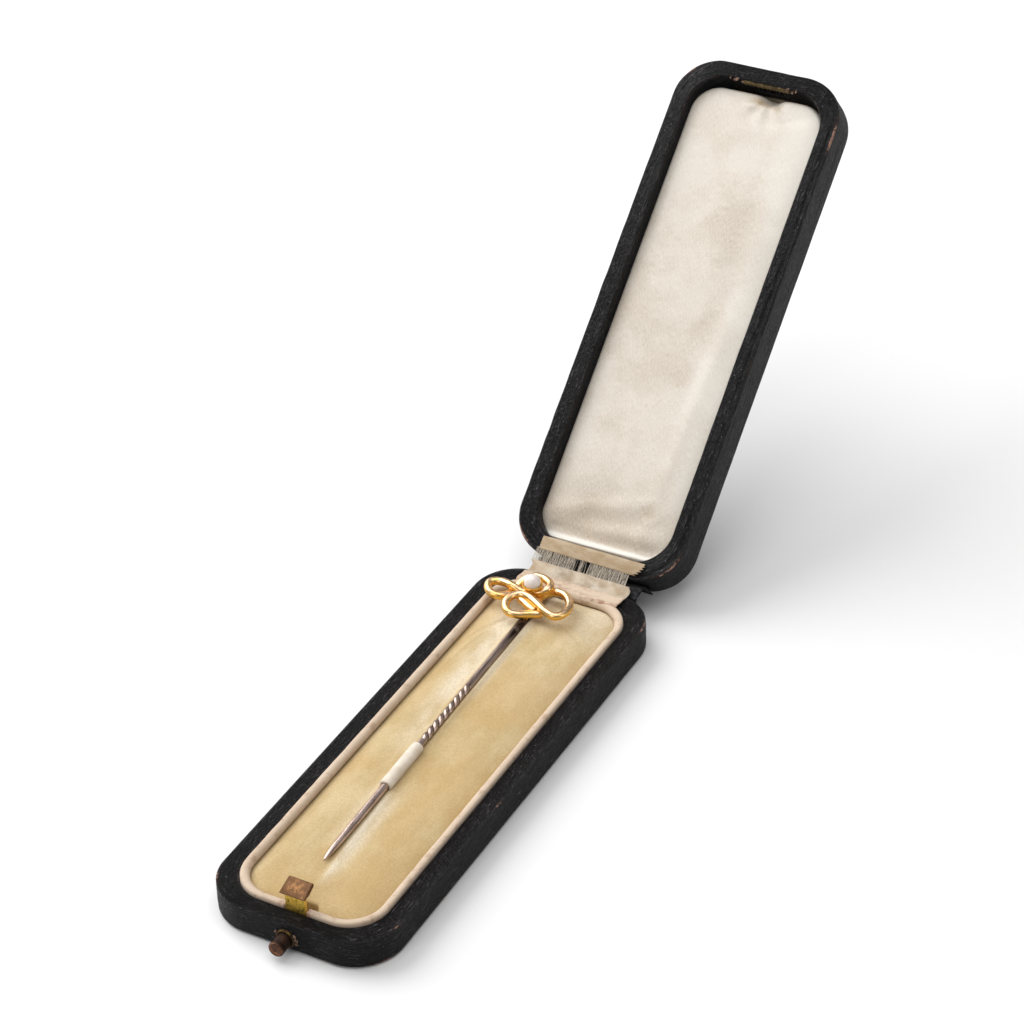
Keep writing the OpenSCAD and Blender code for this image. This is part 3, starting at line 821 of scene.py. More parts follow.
def ribbed_silk(name, light, dark, ribs, turn, rib_mm, darkening=0.5):
    """Silk woven with ribs: their number, direction and height, and how much its darkening mark
    darkens it: dirt on the ribbon, darker towards the bottom on the band.
    """
    made, tree, shader = new_material(name)
    at = own_mm(tree)
    lines = add(tree, "ShaderNodeMapping",
                {"Vector": at, "Rotation": (0, 0, math.radians(turn))}).outputs[0]
    rib = add(tree, "ShaderNodeTexWave", {"Vector": lines, "Scale": ribs, "Distortion": 0.8,
                                          "Detail": 1.5, "Detail Scale": 0.7},
              wave_type="BANDS", bands_direction="X").outputs["Fac"]
    tone = blend_colour(tree, between(tree, noise_of(tree, at, 0.35, 5, 0.6), 0.35, 0.65),
                        light, dark)
    # painted shade: darker down in the grooves between the ribs
    tone = blend_colour(tree, between(tree, rib, 0.0, 0.6, 0.35, 0.0), tone, "a8977c")
    tone = blend_colour(tree, maths(tree, "MULTIPLY", mark(tree, "darkening"), darkening), tone,
                        "a88a5e")
    feed(tree, shader, colour=tone, rough=between(tree, rib, 0.1, 0.9, 0.6, 0.42))
    fixed(shader, gloss=0.4, sheen=0.3, sheen_rough=0.4)
    bump(tree, shader, rib, rib_mm, 0.8)
    return made


band_silk = ribbed_silk("ribbed_band_silk", "e2d8cb", "d3c3ae", 1.4, 90, 0.03)
# the band is darker towards the bottom of the loop, where it goes down into the velvet
band = skin_mesh("stem_band_loop", laid_on_stem(band_grid), wrap_cols=True, caps=True,
                 marks={"darkening": np.clip(-band_grid[..., 2] * 1.2, 0, 1)},
                 material=band_silk)
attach(band, "case_base")
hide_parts("pin_band")

# ---------- push button and its bush ----------
# A turned brass plunger slides in a short bush through the front wall. Both
# are brown with age, with grime round the bush where the leather is torn.

BUTTON_X, BUTTON_Z, BUTTON_R = 0.1, 2.0, 1.15


TURNED_SIDES = 48


def turned(name, outline, centre, along, material, sides=TURNED_SIDES, marks=None):
    """A piece turned on a lathe: outline of (radius, distance along)."""
    axis = Vector(along).normalized()
    side = axis.orthogonal().normalized()
    other = axis.cross(side)
    grid = np.array([[[*(Vector(centre) + axis * d
                         + (side * math.cos(a) + other * math.sin(a)) * r)]
                      for a in np.linspace(0, 2 * math.pi, sides, endpoint=False)]
                     for r, d in outline])
    return skin_mesh(name, grid, wrap_cols=True, caps=True, material=material, marks=marks)


def aged_brass(name, clean, brown, dark, amount, dull, scratch=0.5):
    """Brass under an amount of brown film, with dark spots and scratches."""
    made, tree, shader = new_material(name)
    space = own_mm(tree, flat=False)
    cloud = noise_of(tree, space, 0.9, 5, 0.65)
    spots = noise_of(tree, space, 3.1, 4, 0.6)
    lines = noise_of(tree, space, 2.2, 4, 0.7, stretch=(0.4, 3.0, 7.0))
    film = between(tree, cloud, 0.62 - amount * 0.4, 0.82 - amount * 0.4)
    colour = blend_colour(tree, film, clean, brown)
    colour = blend_colour(tree, between(tree, spots, 0.52, 0.68), colour, dark)
    colour = blend_colour(tree, between(tree, lines, 0.55, 0.72, 0, scratch), colour,
                          dark)
    colour = blend_colour(tree, mark(tree, "grime"), colour, "0e0b0a")
    feed(tree, shader, colour=colour,
         rough=between(tree, cloud, 0.3, 0.7, dull, dull + 0.25),
         metal=between(tree, maths(tree, "MULTIPLY", film, spots), 0.0, 0.6, 1.0, 0.75))
    bump(tree, shader, maths(tree, "ADD", lines, maths(tree, "MULTIPLY", spots, 0.6)), 0.03)
    return made


brown_brass = aged_brass("brown_button_brass", "8a6048", "5c3d2c", "1a100a", 0.7, 0.45)
tip, PLUNGER_END = -44.73, -39.3
button_outline = [(0.0, tip + 0.1), (0.3, tip + 0.08), (0.62, tip + 0.05), (0.74, tip + 0.02),
                  (0.84, tip), (0.95, tip + 0.02), (1.05, tip + 0.08), (1.12, tip + 0.18),
                  (BUTTON_R, tip + 0.32), (BUTTON_R, tip + 0.8), (1.12, tip + 0.86),
                  (1.12, tip + 0.94), (BUTTON_R, tip + 1.0), (BUTTON_R, tip + 2.2),
                  (BUTTON_R, -41.0), (BUTTON_R, PLUNGER_END), (0.0, PLUNGER_END)]
button_grime = np.full((len(button_outline), TURNED_SIDES), 0.8)
button_grime[:8] = 0.1   # the face is rubbed clean
button = turned("push_button_plunger", button_outline, (BUTTON_X, 0, BUTTON_Z), (0, 1, 0),
                brown_brass, marks={"grime": button_grime})
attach(button, "catch")
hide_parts("push_button")

bush_brass = aged_brass("dark_bush_brass", "7d6138", "4a3a22", "1c150d", 0.7, 0.45)
bush_outline = [(1.2, -42.28), (1.28, -42.34), (1.4, -42.33), (1.47, -42.24), (1.48, -42.0),
                (1.48, -41.0), (1.48, -39.6), (1.2, -39.6), (1.2, -41.0), (1.2, -42.1)]
bush = turned("button_bush_ring", bush_outline + bush_outline[:1], (BUTTON_X, 0, BUTTON_Z),
              (0, 1, 0), bush_brass)
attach(bush, "case_base")
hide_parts("button_bush")

# ---------- catch hook ----------
# A brass strip riveted to the plunger stands up inside the rim. Its top is
# folded forward into a sloping nose, brown on top, that snaps into the lid.


def bevelled(piece, width_mm):
    edge = piece.modifiers.new("soft_edges", "BEVEL")
    edge.width = width_mm * MM
    edge.segments = 3
    edge.limit_method = "ANGLE"
    edge.angle_limit = math.radians(35)


def solid_mesh(name, points, faces, material, smooth=False):
    mesh = bpy.data.meshes.new(name)
    mesh.from_pydata([tuple(c * MM for c in p) for p in points], [], faces)
    work = bmesh.new()
    work.from_mesh(mesh)
    bmesh.ops.recalc_face_normals(work, faces=work.faces)
    work.to_mesh(mesh)
    work.free()
    mesh.polygons.foreach_set("use_smooth", [smooth] * len(mesh.polygons))
    mesh.materials.append(material)
    piece = bpy.data.objects.new(name, mesh)
    scene.collection.objects.link(piece)
    return piece


def extruded(name, outline, x0, x1, material, taper=None):
    """An outline in (y, z), carried from x0 to x1; taper moves the x of a point."""
    n = len(outline)
    move = taper or (lambda y, z, x: x)
    points = [(move(y, z, x), y, z) for x in (x0, x1) for y, z in outline]
    faces = [tuple(range(n)), tuple(range(2 * n - 1, n - 1, -1))]
    faces += [(i, (i + 1) % n, n + (i + 1) % n, n + i) for i in range(n)]
    return solid_mesh(name, points, faces, material)


strip_brass = aged_brass("scratched_strip_brass", "f2cd62", "c09a48", "5a4018", 0.15, 0.45,
                         scratch=0.45)
nose_brass = aged_brass("brown_nose_brass", "8a6543", "6a4b31", "503825", 0.75, 0.42,
                        scratch=0.3)
STRIP_HALF, NOSE_HALF = 1.55, 1.95
strip = extruded("catch_strip",
                 [(PLUNGER_END, 1.25), (PLUNGER_END, 7.62), (-38.8, 7.62), (-38.8, 1.25)],
                 CATCH_X - STRIP_HALF, CATCH_X + STRIP_HALF, strip_brass)
bevelled(strip, 0.06)
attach(strip, "catch")
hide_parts("catch_hook")
nose = extruded("catch_nose",
                [(-39.93, 7.6), (-39.95, 7.74), (-39.5, 7.98), (-38.7, 8.34), (-37.8, 8.66),
                 (-37.42, 8.72), (-37.25, 8.6), (-37.25, 8.2), (-37.9, 7.95), (-38.6, 7.6)],
                CATCH_X - NOSE_HALF, CATCH_X + NOSE_HALF, nose_brass,
                taper=lambda y, z, x: CATCH_X + (x - CATCH_X) * (1 - 0.05 * rise(z, 7.7, 8.6)))
bevelled(nose, 0.09)
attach(nose, "catch")
repaint("catch_rivet", strip_brass)

# ---------- leather cover of the lid ----------
# The lid is covered in the same black leather as the base, drawn over a
# rounded top edge and in over the rim to the silk. Everything on the lid is
# worked out closed and then turned back to its rest on the table.

HINGE_Y, HINGE_Z = 43.44, 4.78
LID_OPEN = math.radians(139.56)
LID_LOW, LID_TOP = 4.75, 11.7
TOP_FROM = 7   # further in than this, loops on the flat top have near-square corners
SLOT_HALF, SLOT_DEPTH = 2.2, 1.1


def opened(points):
    """From the lid's closed place to where it rests open."""
    p = np.asarray(points, float)
    dy, dz = p[..., 1] - HINGE_Y, p[..., 2] - HINGE_Z
    c, s = math.cos(-LID_OPEN), math.sin(-LID_OPEN)
    return np.stack([p[..., 0], HINGE_Y + dy * c - dz * s, HINGE_Z + dy * s + dz * c], axis=-1)


LID_IN_Y0, LID_IN_Y1 = -39.55, 39.25


# from the inside of the rim, over it, up the wall and in over the flat top
lid_section = (
    [(1.02, 10.2, 0), (1.02, 9.42, 0), (1.02, 9.37, 0), (1.02, 7.0, 0), (1.02, 6.93, 0),
     (1.02, 5.9, 0), (1.02, 5.2, 0), (1.0, 4.92, 0), (0.96, 4.8, 0), (0.9, 4.76, 0)]
    + [(s, LID_LOW, 0) for s in (0.83, 0.76, 0.68, 0.6, 0.52, 0.44, 0.36, 0.28, 0.2)]
    + [(0, 4.76, 0.36), (0, 4.82, 0.2), (0, 4.93, 0.08), (0, 5.1, 0.02)]
    + [(0, z, 0) for z in np.linspace(5.3, 10.3, 16)]
    + [(0, 10.75, 0.0), (0, 11.05, 0.03), (0, 11.28, 0.12), (0, 11.46, 0.25), (0, 11.6, 0.45),
       (0, 11.68, 0.72), (0, LID_TOP, 1.1)]
    + [(0, LID_TOP, i) for i in (2.4, 3.4, 4.6, 6.0, 7.4)])


def lid_skin_loop(share, height, inset):
    if inset > TOP_FROM:
        return loop(base_track, CASE_X - inset, CASE_Y - inset, 0.4, height)
    shift = (LID_IN_Y0 + LID_IN_Y1) / 2
    half = (LID_IN_Y1 - LID_IN_Y0) / 2
    return loop(base_track, CASE_X + (POCKET_X - CASE_X) * share - inset,
                CASE_Y + (half - CASE_Y) * share - inset,
                CASE_R + (POCKET_R - CASE_R) * share - inset, height, shift * share)


def drawn_in(points, share):
    """The same loop, that much narrower about the lid's middle line."""
    return points * np.array([share, 1, 1])


lid_rows = [lid_skin_loop(*row) for row in lid_section]
# the flat top runs in to a narrow loop, which skin_mesh bridges across
lid_grid = np.stack(lid_rows + [drawn_in(lid_rows[-1], share) for share in (0.66, 0.33)])
shell = outward(lid_grid, (30, 5), (0, -1, 0))
rows = np.arange(len(lid_grid))
wall_rows = ((rows >= 22) & (rows <= 42))[:, None] * np.ones(lid_grid.shape[1])
rim_rows = ((rows >= 7) & (rows <= 21))[:, None] * np.ones(lid_grid.shape[1])
at = unrolled(lid_grid)
crease = lumps(at, (8.0, 0.6, 1), 43) * 0.6 + lumps(at, (4.0, 0.4, 1), 45) * 0.4
dents = lumps(lid_grid, 1.6, 48) * 0.2 + lumps(at, (2.4, 0.42, 1), 49) * 0.8
fold_line = (rim_rows * bell(rows - 15.5, 0.8)[:, None]
             * rise(lid_grid[..., 0], 8, 12)
             * rise(lumps(lid_grid, (5, 9, 5), 47), -0.5, 0.3))
push = wall_rows * (crease * 0.06 - 0.05) + rim_rows * (dents * 0.07 - 0.05) - 0.14 * fold_line
lid_grid = lid_grid + shell * np.where(rows[:, None] < 46, push, 0)[..., None]
# the slot that the catch nose snaps into, in the front wall
for row in lid_grid[2:4]:
    row[(np.abs(row[:, 0] - CATCH_X) < SLOT_HALF) & (row[:, 1] < -30), 1] -= SLOT_DEPTH
rub = np.zeros(lid_grid.shape[:2])
LIP_EDGE, RIM_EDGE, ROUNDED_TOP = slice(5, 10), slice(17, 25), slice(39, 45)
rub[RIM_EDGE] = np.array([0.25, 0.6, 0.9, 1, 1, 0.9, 0.6, 0.3])[:, None]
rub[LIP_EDGE] = np.array([0.25, 0.6, 0.85, 0.6, 0.3])[:, None]
rub[ROUNDED_TOP] = np.array([0.4, 0.7, 1, 1, 0.7, 0.4])[:, None]
rub[RIM_EDGE] *= 0.5 + 0.6 * near_spots(lid_grid[RIM_EDGE], (
    (13.5, -33, 5), (-12, -39, 2.5), (13, 39, 4), (-12, 40, 3), (14, 5, 3)))
rub[ROUNDED_TOP] *= 0.45 + 0.6 * near_spots(lid_grid[ROUNDED_TOP], (
    (13, 38, 5), (-13, -38, 4), (14, -5, 4)))
# the flesh side of the skin lies a little inside it
inner_section = [(0, 11.25, 7.4), (0, 11.25, 2.0), (0, 11.25, SKIN), (0, 8.0, SKIN),
                 (0, 5.16, SKIN), (0.5, 5.16, 0), (0.91, 5.16, 0), (0.91, 7.2, 0),
                 (0.91, 10.18, 0)]
inner_rows = [lid_skin_loop(*row) for row in inner_section]
for row in inner_rows[-2:]:
    row[(np.abs(row[:, 0] - CATCH_X) < SLOT_HALF) & (row[:, 1] < -30), 1] -= SLOT_DEPTH
inner_rows = [drawn_in(inner_rows[0], share) for share in (0.33, 0.66)] + inner_rows
unmarked = ((len(inner_rows), 0), (0, 0))
lid_cover = skin_mesh("lid_leather_cover", opened(np.concatenate([inner_rows, lid_grid])),
                      wrap_cols=True, bridge=True, material=case_leather,
                      marks={"rub": np.pad(rub, unmarked),
                             "wall": np.pad(wall_rows * 0.8, unmarked)})
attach(lid_cover, "lid")
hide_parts("lid_leather")

# ---------- silk cushion in the lid ----------
# Ivory silk satin drawn over wadding fills the lid. It bulges softly, is
# puckered and stained where the catch nose pushes in, dented where the
# pin's head presses, and rolls over at the hinge. Light is painted on its
# right side, its catch end and its rolled edge.

SILK_X, SILK_Y0, SILK_Y1, SILK_R = 11.28, -38.35, 39.05, 4.6
SILK_FACE, SILK_BACK = 7.3, 10.22
half_silk, mid_silk = (SILK_Y1 - SILK_Y0) / 2, (SILK_Y1 + SILK_Y0) / 2
x, y = pad_grid(SILK_X, half_silk, SILK_R, 120, 400, mid_silk)
inside_edge = np.clip(edge_distance(x, y, SILK_X, half_silk, SILK_R, mid_silk), 0, None)
flat_place = np.stack([x, y, np.zeros(x.shape)], axis=-1)
puff = 1 - (1 - np.clip(inside_edge / 5.0, 0, 1)) ** 2.2
depth = SILK_FACE - 0.5 * puff - 0.5 * (1 - (1 - np.clip(inside_edge / 0.7, 0, 1)) ** 3)
depth += (lumps(flat_place, (6, 9, 6), 61) * 0.10
          + lumps(flat_place, (2.6, 4.2, 3), 62) * 0.035) * puff
# the catch pushes the silk back and gathers it
to_catch = np.hypot((x - 1.6) / 1.5, (y + 38.2) / 1.25)
depth += 1.9 * np.exp(-to_catch ** 2 * 0.9)
angle = np.arctan2(y + 38.6, x - 1.2)
reach = np.hypot(x - 1.2, y + 38.6)
depth += (0.10 * np.cos(angle * 9 + 0.6) * rise(reach, 1.0, 2.2)
          * (1 - rise(reach, 3.0, 8.0)) * puff)
depth += 0.16 * bell(y + 34.2 + 0.06 * (x - 3) ** 2, 1.1) * bell(x - 3, 5.5)
depth -= 0.22 * bell(y + 36.2 + 0.05 * (x + 1) ** 2, 0.8) * bell(x + 0.5, 3.2)
# where the head and the pearl press
to_pearl = np.hypot(x + 3.2, y - 33.3)
depth += 0.35 * bell(to_pearl, 5.0) + 0.25 * bell(to_pearl, 1.6)
ring_fold = bell(to_pearl - 6.2, 0.7) * rise(-(y - 31), 0, 3)
depth -= 0.03 * ring_fold
to_dent = np.hypot(x - 5.8, (y - 31.0) * 1.1)
depth += 0.13 * bell(to_dent, 1.1) - 0.05 * bell(to_dent - 1.9, 0.7)
depth += 0.07 * np.sin(y * 1.15 + 0.25 * x) * rise(y, 28, 34) * (1 - rise(y, 36.5, 38)) * puff
# the rolled edge at the hinge end
edge_roll = y - 38.35 + 0.02 * x
depth -= 0.5 * bell(edge_roll, 0.42) * rise(10.6 - np.abs(x), 0, 1.2)
depth += 0.3 * bell(edge_roll + 1.5, 1.0) * rise(10.2 - np.abs(x), 0, 2.0)
# a slack fold runs aslant over the dent, and a long one down the side
slack = y - 33.5 + 0.32 * (x - 2.0)
depth += 0.16 * bell(slack, 1.5) * rise(8.0 - x, 0, 3)
depth -= 0.12 * bell(slack + 2.8, 1.2) * rise(6.0 - x, 0, 4)
depth -= 0.12 * bell(x - 7.6 + 0.05 * y, 1.3) * rise(y, -10, 10)
silk_top = np.stack([x, y, depth], axis=-1)
silk_low = silk_top.copy()
silk_low[..., 2] = SILK_BACK
catch_stain = (bell(x - CATCH_X, 1.7) * bell(y + 37.0, 0.8)
               + 0.5 * bell(x - 3.0, 0.9) * bell(y + 36.4, 0.9))
# darker towards the hinge end, round the pearl and in the head's dent
hinge_end_darkening = (0.55 * rise(y, 24, 37) + 0.35 * bell(to_pearl, 4.2)
              + 0.5 * bell(to_dent, 1.3))
hinge_end_darkening = hinge_end_darkening * (1 - rise(y, 37.2, 37.9))


def satin_material():
    made, tree, shader = new_material("ivory_satin")
    space = own_mm(tree, flat=False)
    at = own_mm(tree)
    threads = noise_of(tree, at, 1.0, 3, 0.6, stretch=(9.0, 1.4, 1))
    warp = noise_of(tree, at, 1.0, 3, 0.6, stretch=(1.2, 7.0, 1))
    cloud = noise_of(tree, space, 0.1, 5, 0.6)
    spots = noise_of(tree, space, 0.55, 3, 0.5)
    tone = blend_colour(tree, between(tree, cloud, 0.38, 0.62), "c6bdb1",
                        "b5a898")
    tone = blend_colour(tree, between(tree, spots, 0.64, 0.76, 0, 0.28), tone, "a58f6c")
    # painted light: the silk is paler where this mark is
    tone = blend_colour(tree, mark(tree, "painted_light"), tone, "ddd8cf")
    # darker where this mark is: towards the hinge end, round the pearl and in the dent
    tone = blend_colour(tree, mark(tree, "darkening"), tone, "a5937b")
    tone = blend_colour(tree, maths(tree, "MULTIPLY", mark(tree, "stain_and_shade"),
                                    between(tree, spots, 0.3, 0.6, 0.4, 1.0), clamp=True),
                        tone, "927543")
    tone = blend_colour(tree, between(tree, threads, 0.35, 0.65, 0.0, 0.34), tone,
                        "e9e3d8")
    feed(tree, shader, colour=tone, rough=between(tree, threads, 0.3, 0.7, 0.36, 0.5))
    fixed(shader, gloss=0.5, sheen=0.25, sheen_rough=0.35, brushed=0.4)
    bump(tree, shader, maths(tree, "ADD", threads, warp), 0.05, 0.8)
    return made


ivory_satin = satin_material()
# painted light: lighter to the right, towards the catch end, and on the rolled edge at the
# hinge
painted_light = rise(x, 3, 10) * 0.5 + rise(-y, 20, 34) * 0.3 + rise(y, 37.2, 37.9)
silk = closed_pad("silk_lid_cushion", opened(silk_top), opened(silk_low),
                  {"stain_and_shade": np.clip(catch_stain, 0, 1), "darkening": np.clip(hinge_end_darkening, 0, 1),
                   "painted_light": np.clip(painted_light, 0, 1)}, ivory_satin)
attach(silk, "lid")
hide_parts("lid_cushion")
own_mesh(silk)

# ---------- keeper in the lid's front wall ----------
# A worn brass strip pinned inside the front wall, over the slot that takes
# the catch nose. The leather round it is torn and scuffed tan.

keeper_brass = aged_brass("worn_keeper_brass", "958560", "6f6048", "35291d", 0.6, 0.6)
for name in ("keeper_pin_left", "keeper_pin_right"):
    repaint(name, keeper_brass)
keeper_outline = [(-39.7, 5.25), (-39.7, 6.8), (-39.46, 6.84), (-39.38, 6.7), (-39.36, 6.1),
                  (-39.38, 5.4), (-39.46, 5.25)]
KEEPER_HALF, KEEPER_STEPS = 3.9, 40
keeper_grid = np.array([[(CATCH_X - KEEPER_HALF + 2 * KEEPER_HALF * i / KEEPER_STEPS,
                          ky + 0.04 * math.sin(i * 2.3),
                          kz + (0.16 * math.sin(i * 1.7) + 0.1 * math.sin(i * 4.1))
                          * (1 if kz > 6 else 0.8))
                         for ky, kz in keeper_outline] for i in range(KEEPER_STEPS + 1)])
keeper = skin_mesh("keeper_strip", opened(keeper_grid), wrap_cols=True, caps=True,
                   material=keeper_brass)
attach(keeper, "lid")
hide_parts("keeper_plate")

torn_leather, tree, shader = new_material("torn_leather_flesh")
torn = noise_of(tree, own_mm(tree, flat=False), 1.8, 4, 0.6)
feed(tree, shader, colour=blend_colour(tree, between(tree, torn, 0.38, 0.62), "9a7c6c",
                                       "3a2b25"))
fixed(shader, rough=0.85, gloss=0.2)
bump(tree, shader, torn, 0.05)


FLAKE_SIDES, FLAKE_THICK = 11, 0.1


def flakes(name, sites, on_lid=False):
    """Torn leaves of leather, each from (middle, facing, half size)."""
    points, faces = [], []
    for middle, facing, size in sites:
        n = Vector(facing).normalized()
        u = n.orthogonal().normalized()
        v = n.cross(u)
        rim = [size * random.uniform(0.4, 1.0) for _ in range(FLAKE_SIDES)]
        low, high = len(points), len(points) + FLAKE_SIDES
        for lift in (-FLAKE_THICK / 2, FLAKE_THICK / 2):
            for k, r in enumerate(rim):
                a = 2 * math.pi * k / FLAKE_SIDES
                curl = 0.3 * r * (0.5 + 0.5 * math.cos(a)) + lift
                flat = (u * math.cos(a) * 0.6 + v * math.sin(a)) * r
                points.append(tuple(Vector(middle) + flat + n * curl))
        faces += [tuple(reversed(range(low, high))), tuple(range(high, high + FLAKE_SIDES))]
        for k in range(FLAKE_SIDES):
            after = (k + 1) % FLAKE_SIDES
            faces.append((low + k, low + after, high + after, high + k))
    if on_lid:
        points = opened(points).tolist()
    return solid_mesh(name, points, faces, torn_leather)


random.seed(9)
lid_flakes = flakes("lid_torn_flakes", [
    ((px + random.uniform(-0.2, 0.2), -39.42, pz), (0.1, 1, -0.5), size)
    for px, pz, size in ((-5.6, 5.0, 0.35), (-4.9, 5.3, 0.55), (-4.3, 5.0, 0.5),
                         (-3.9, 5.7, 0.4), (4.3, 5.1, 0.5), (4.8, 5.5, 0.5),
                         (5.4, 5.1, 0.4), (3.9, 5.8, 0.35))], on_lid=True)
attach(lid_flakes, "lid")
base_flakes = flakes("base_torn_flakes", [
    ((px, -42.02, pz), (0.15, -1, 0.2), size)
    for px, pz, size in ((1.5, 2.75, 0.4), (1.75, 2.2, 0.45), (1.7, 1.55, 0.35),
                         (-1.45, 2.6, 0.3))])
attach(base_flakes, "case_base")

# ---------- leather strap of the hinge ----------
# A strip of thin black leather, pasted to the back walls of the base and
# the lid, bends between them and is the hinge.

strap_leather = black_leather("hinge_strap_leather", 0.62, 2.6, 0.05)
STRAP_LEFT, STRAP_RIGHT, STRAP_HALF_THICK = -8.3, 9.5, 0.11


def smooth_line(points, steps, closed=False):
    """A smooth line through the points, and how many points along each lies."""
    pts = np.array(points, float)
    n = len(pts)
    line, share = [], []
    for i in range(n if closed else n - 1):
        a, b, c, d = (pts[j % n if closed else min(max(j, 0), n - 1)]
                      for j in (i - 1, i, i + 1, i + 2))
        for k in range(steps):
            s = k / steps
            line.append(0.5 * (2 * b + (c - a) * s + (2 * a - 5 * b + 4 * c - d) * s * s
                               + (3 * b - a - 3 * c + d) * s ** 3))
            share.append(i + s)
    if not closed:
        line.append(pts[-1])
        share.append(n - 1)
    return np.array(line), np.array(share)


def across_line(line):
    """The direction square to a line in (y, z) at each of its points."""
    tangent = np.gradient(line, axis=0)
    tangent /= np.linalg.norm(tangent, axis=1, keepdims=True)
    return np.stack([-tangent[:, 1], tangent[:, 0]], axis=1)


def strip_grid(line, square, ends, half_thick, columns):
    """A strip that follows a line in (y, z), from one x to another at each row."""
    rows = []
    for (py, pz), (ny, nz), (left, right) in zip(line, square * half_thick, ends):
        xs = np.linspace(left, right, columns)
        rows.append([(x, py + ny, pz + nz) for x in xs]
                    + [(x, py - ny, pz - nz) for x in xs[::-1]])
    return np.array(rows)


strap_points = [(42.16, 0.7), (42.17, 1.6), (42.18, 2.3), (42.19, 3.0), (42.22, 3.55),
                (42.36, 4.0), (42.75, 4.28), (43.2, 4.36), (43.62, 4.42), (44.05, 4.52),
                (44.5, 4.66), (44.92, 4.7)]
strap_points += [tuple(p[1:]) for p in
                 opened([(0, 42.18, z) for z in (6.35, 7.0, 7.8, 8.6, 9.5, 10.2)])]
strap_line, _ = smooth_line(strap_points, 4)
strap_grid = strip_grid(strap_line, across_line(strap_line),
                        [(STRAP_LEFT, STRAP_RIGHT)] * len(strap_line), STRAP_HALF_THICK, 60)
strap_grid[..., 1] += lumps(strap_grid, (1.5, 3, 3), 71) * 0.03
strap = skin_mesh("hinge_strap", strap_grid, wrap_cols=True, caps=True,
                  marks={"rub": np.full(strap_grid.shape[:2], 0.35),
                         "wall": np.full(strap_grid.shape[:2], 0.9)},
                  material=strap_leather)
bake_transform(strap)
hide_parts("hinge_leather_base", "hinge_leather_lid")

# ---------- silk ribbon over the hinge ----------
# A strip of off-white silk ribbon is pasted inside, from the collar over
# the back rim and across the gap to the lid's rim. Along the bend its weft
# has worn away, and only the fine warp threads still cross.

RIBBON_X, RIBBON_HALF_THICK = 8.35, 0.045
ribbon_silk = ribbed_silk("hinge_ribbon_silk", "bfb5a6", "93806a", 1.1, 0, 0.03, 0.6)
lid_side = opened([(0, 41.15, 4.66), (0, 40.6, 4.66), (0, 40.0, 4.66), (0, 39.4, 4.68),
                   (0, 39.05, 4.85), (0, 38.98, 5.4), (0, 38.98, 6.1)])
ribbon_line = [(39.12, 3.2), (39.12, 4.1), (39.25, 4.5), (39.7, 4.63), (40.3, 4.67),
               (41.0, 4.7), (41.7, 4.76), (42.4, 4.84), (43.0, 4.97), (43.3, 5.08),
               (43.6, 5.2)]
fray_from = len(ribbon_line) - 1
ribbon_line += [(44.0, 5.42), (44.4, 5.7), (44.8, 6.0)]
fray_to = len(ribbon_line)
ribbon_line += [tuple(p[1:]) for p in lid_side]
path, share = smooth_line(ribbon_line, 5)
square = across_line(path)


def ribbon_sheet(keep, edge_wave):
    """The part of the ribbon kept, with its left and right edges waved."""
    ends = [(-RIBBON_X + edge_wave(at, -1), RIBBON_X + edge_wave(at, 1))
            for at in share[keep]]
    grid = strip_grid(path[keep], square[keep], ends, RIBBON_HALF_THICK, 90)
    wobble = lumps(grid * np.array([1, 0.3, 0.3]), 1.8, 81) * 0.05
    grid[..., 2] += wobble * rise(grid[..., 1], 39.4, 40.4)
    return grid


low_keep = np.where(share <= fray_from)[0]
high_keep = np.where(share >= fray_to)[0]
low_grid = ribbon_sheet(low_keep, lambda at, side: (
    -0.55 * rise(at, 7, 10) + (-0.5 * rise(6.5 - at, 0, 3) if side > 0 else 0.0)))
high_grid = ribbon_sheet(high_keep, lambda at, side: (
    0.25 * math.sin(at * 9.1) + 0.15 * math.sin(at * 23.0)) * (1 if side > 0 else 0.3)
    + (1.3 * rise(at, 13, 17) - 0.8 if side > 0 else -0.1))
ribbon_soil = {"darkening": np.clip(0.25 + 0.5 * lumps(low_grid, (3, 1.5, 3), 84), 0, 1)}
ribbon_low = skin_mesh("silk_hinge_ribbon", low_grid, wrap_cols=True, caps=True,
                       marks=ribbon_soil, material=ribbon_silk)
ribbon_high = skin_mesh("upper_strip", high_grid, wrap_cols=True, caps=True,
                        marks={"darkening": np.full(high_grid.shape[:2], 0.9)},
                        material=ribbon_silk)

thread_silk = ribbed_silk("loose_warp_silk", "cfc9be", "b5aa9a", 3.0, 0, 0.01, 0.3)
random.seed(5)
THREADS = 250
thread_path = path[low_keep[-4]:high_keep[3]]


def tube_faces(start, rings, sides):
    """Faces of a closed tube of rings, its points counted on from start."""
    faces = [(start + sides * i + j, start + sides * i + (j + 1) % sides,
              start + sides * (i + 1) + (j + 1) % sides, start + sides * (i + 1) + j)
             for i in range(rings - 1) for j in range(sides)]
    last = start + sides * (rings - 1)
    return faces + [tuple(range(start, start + sides)),
                    tuple(reversed(range(last, last + sides)))]


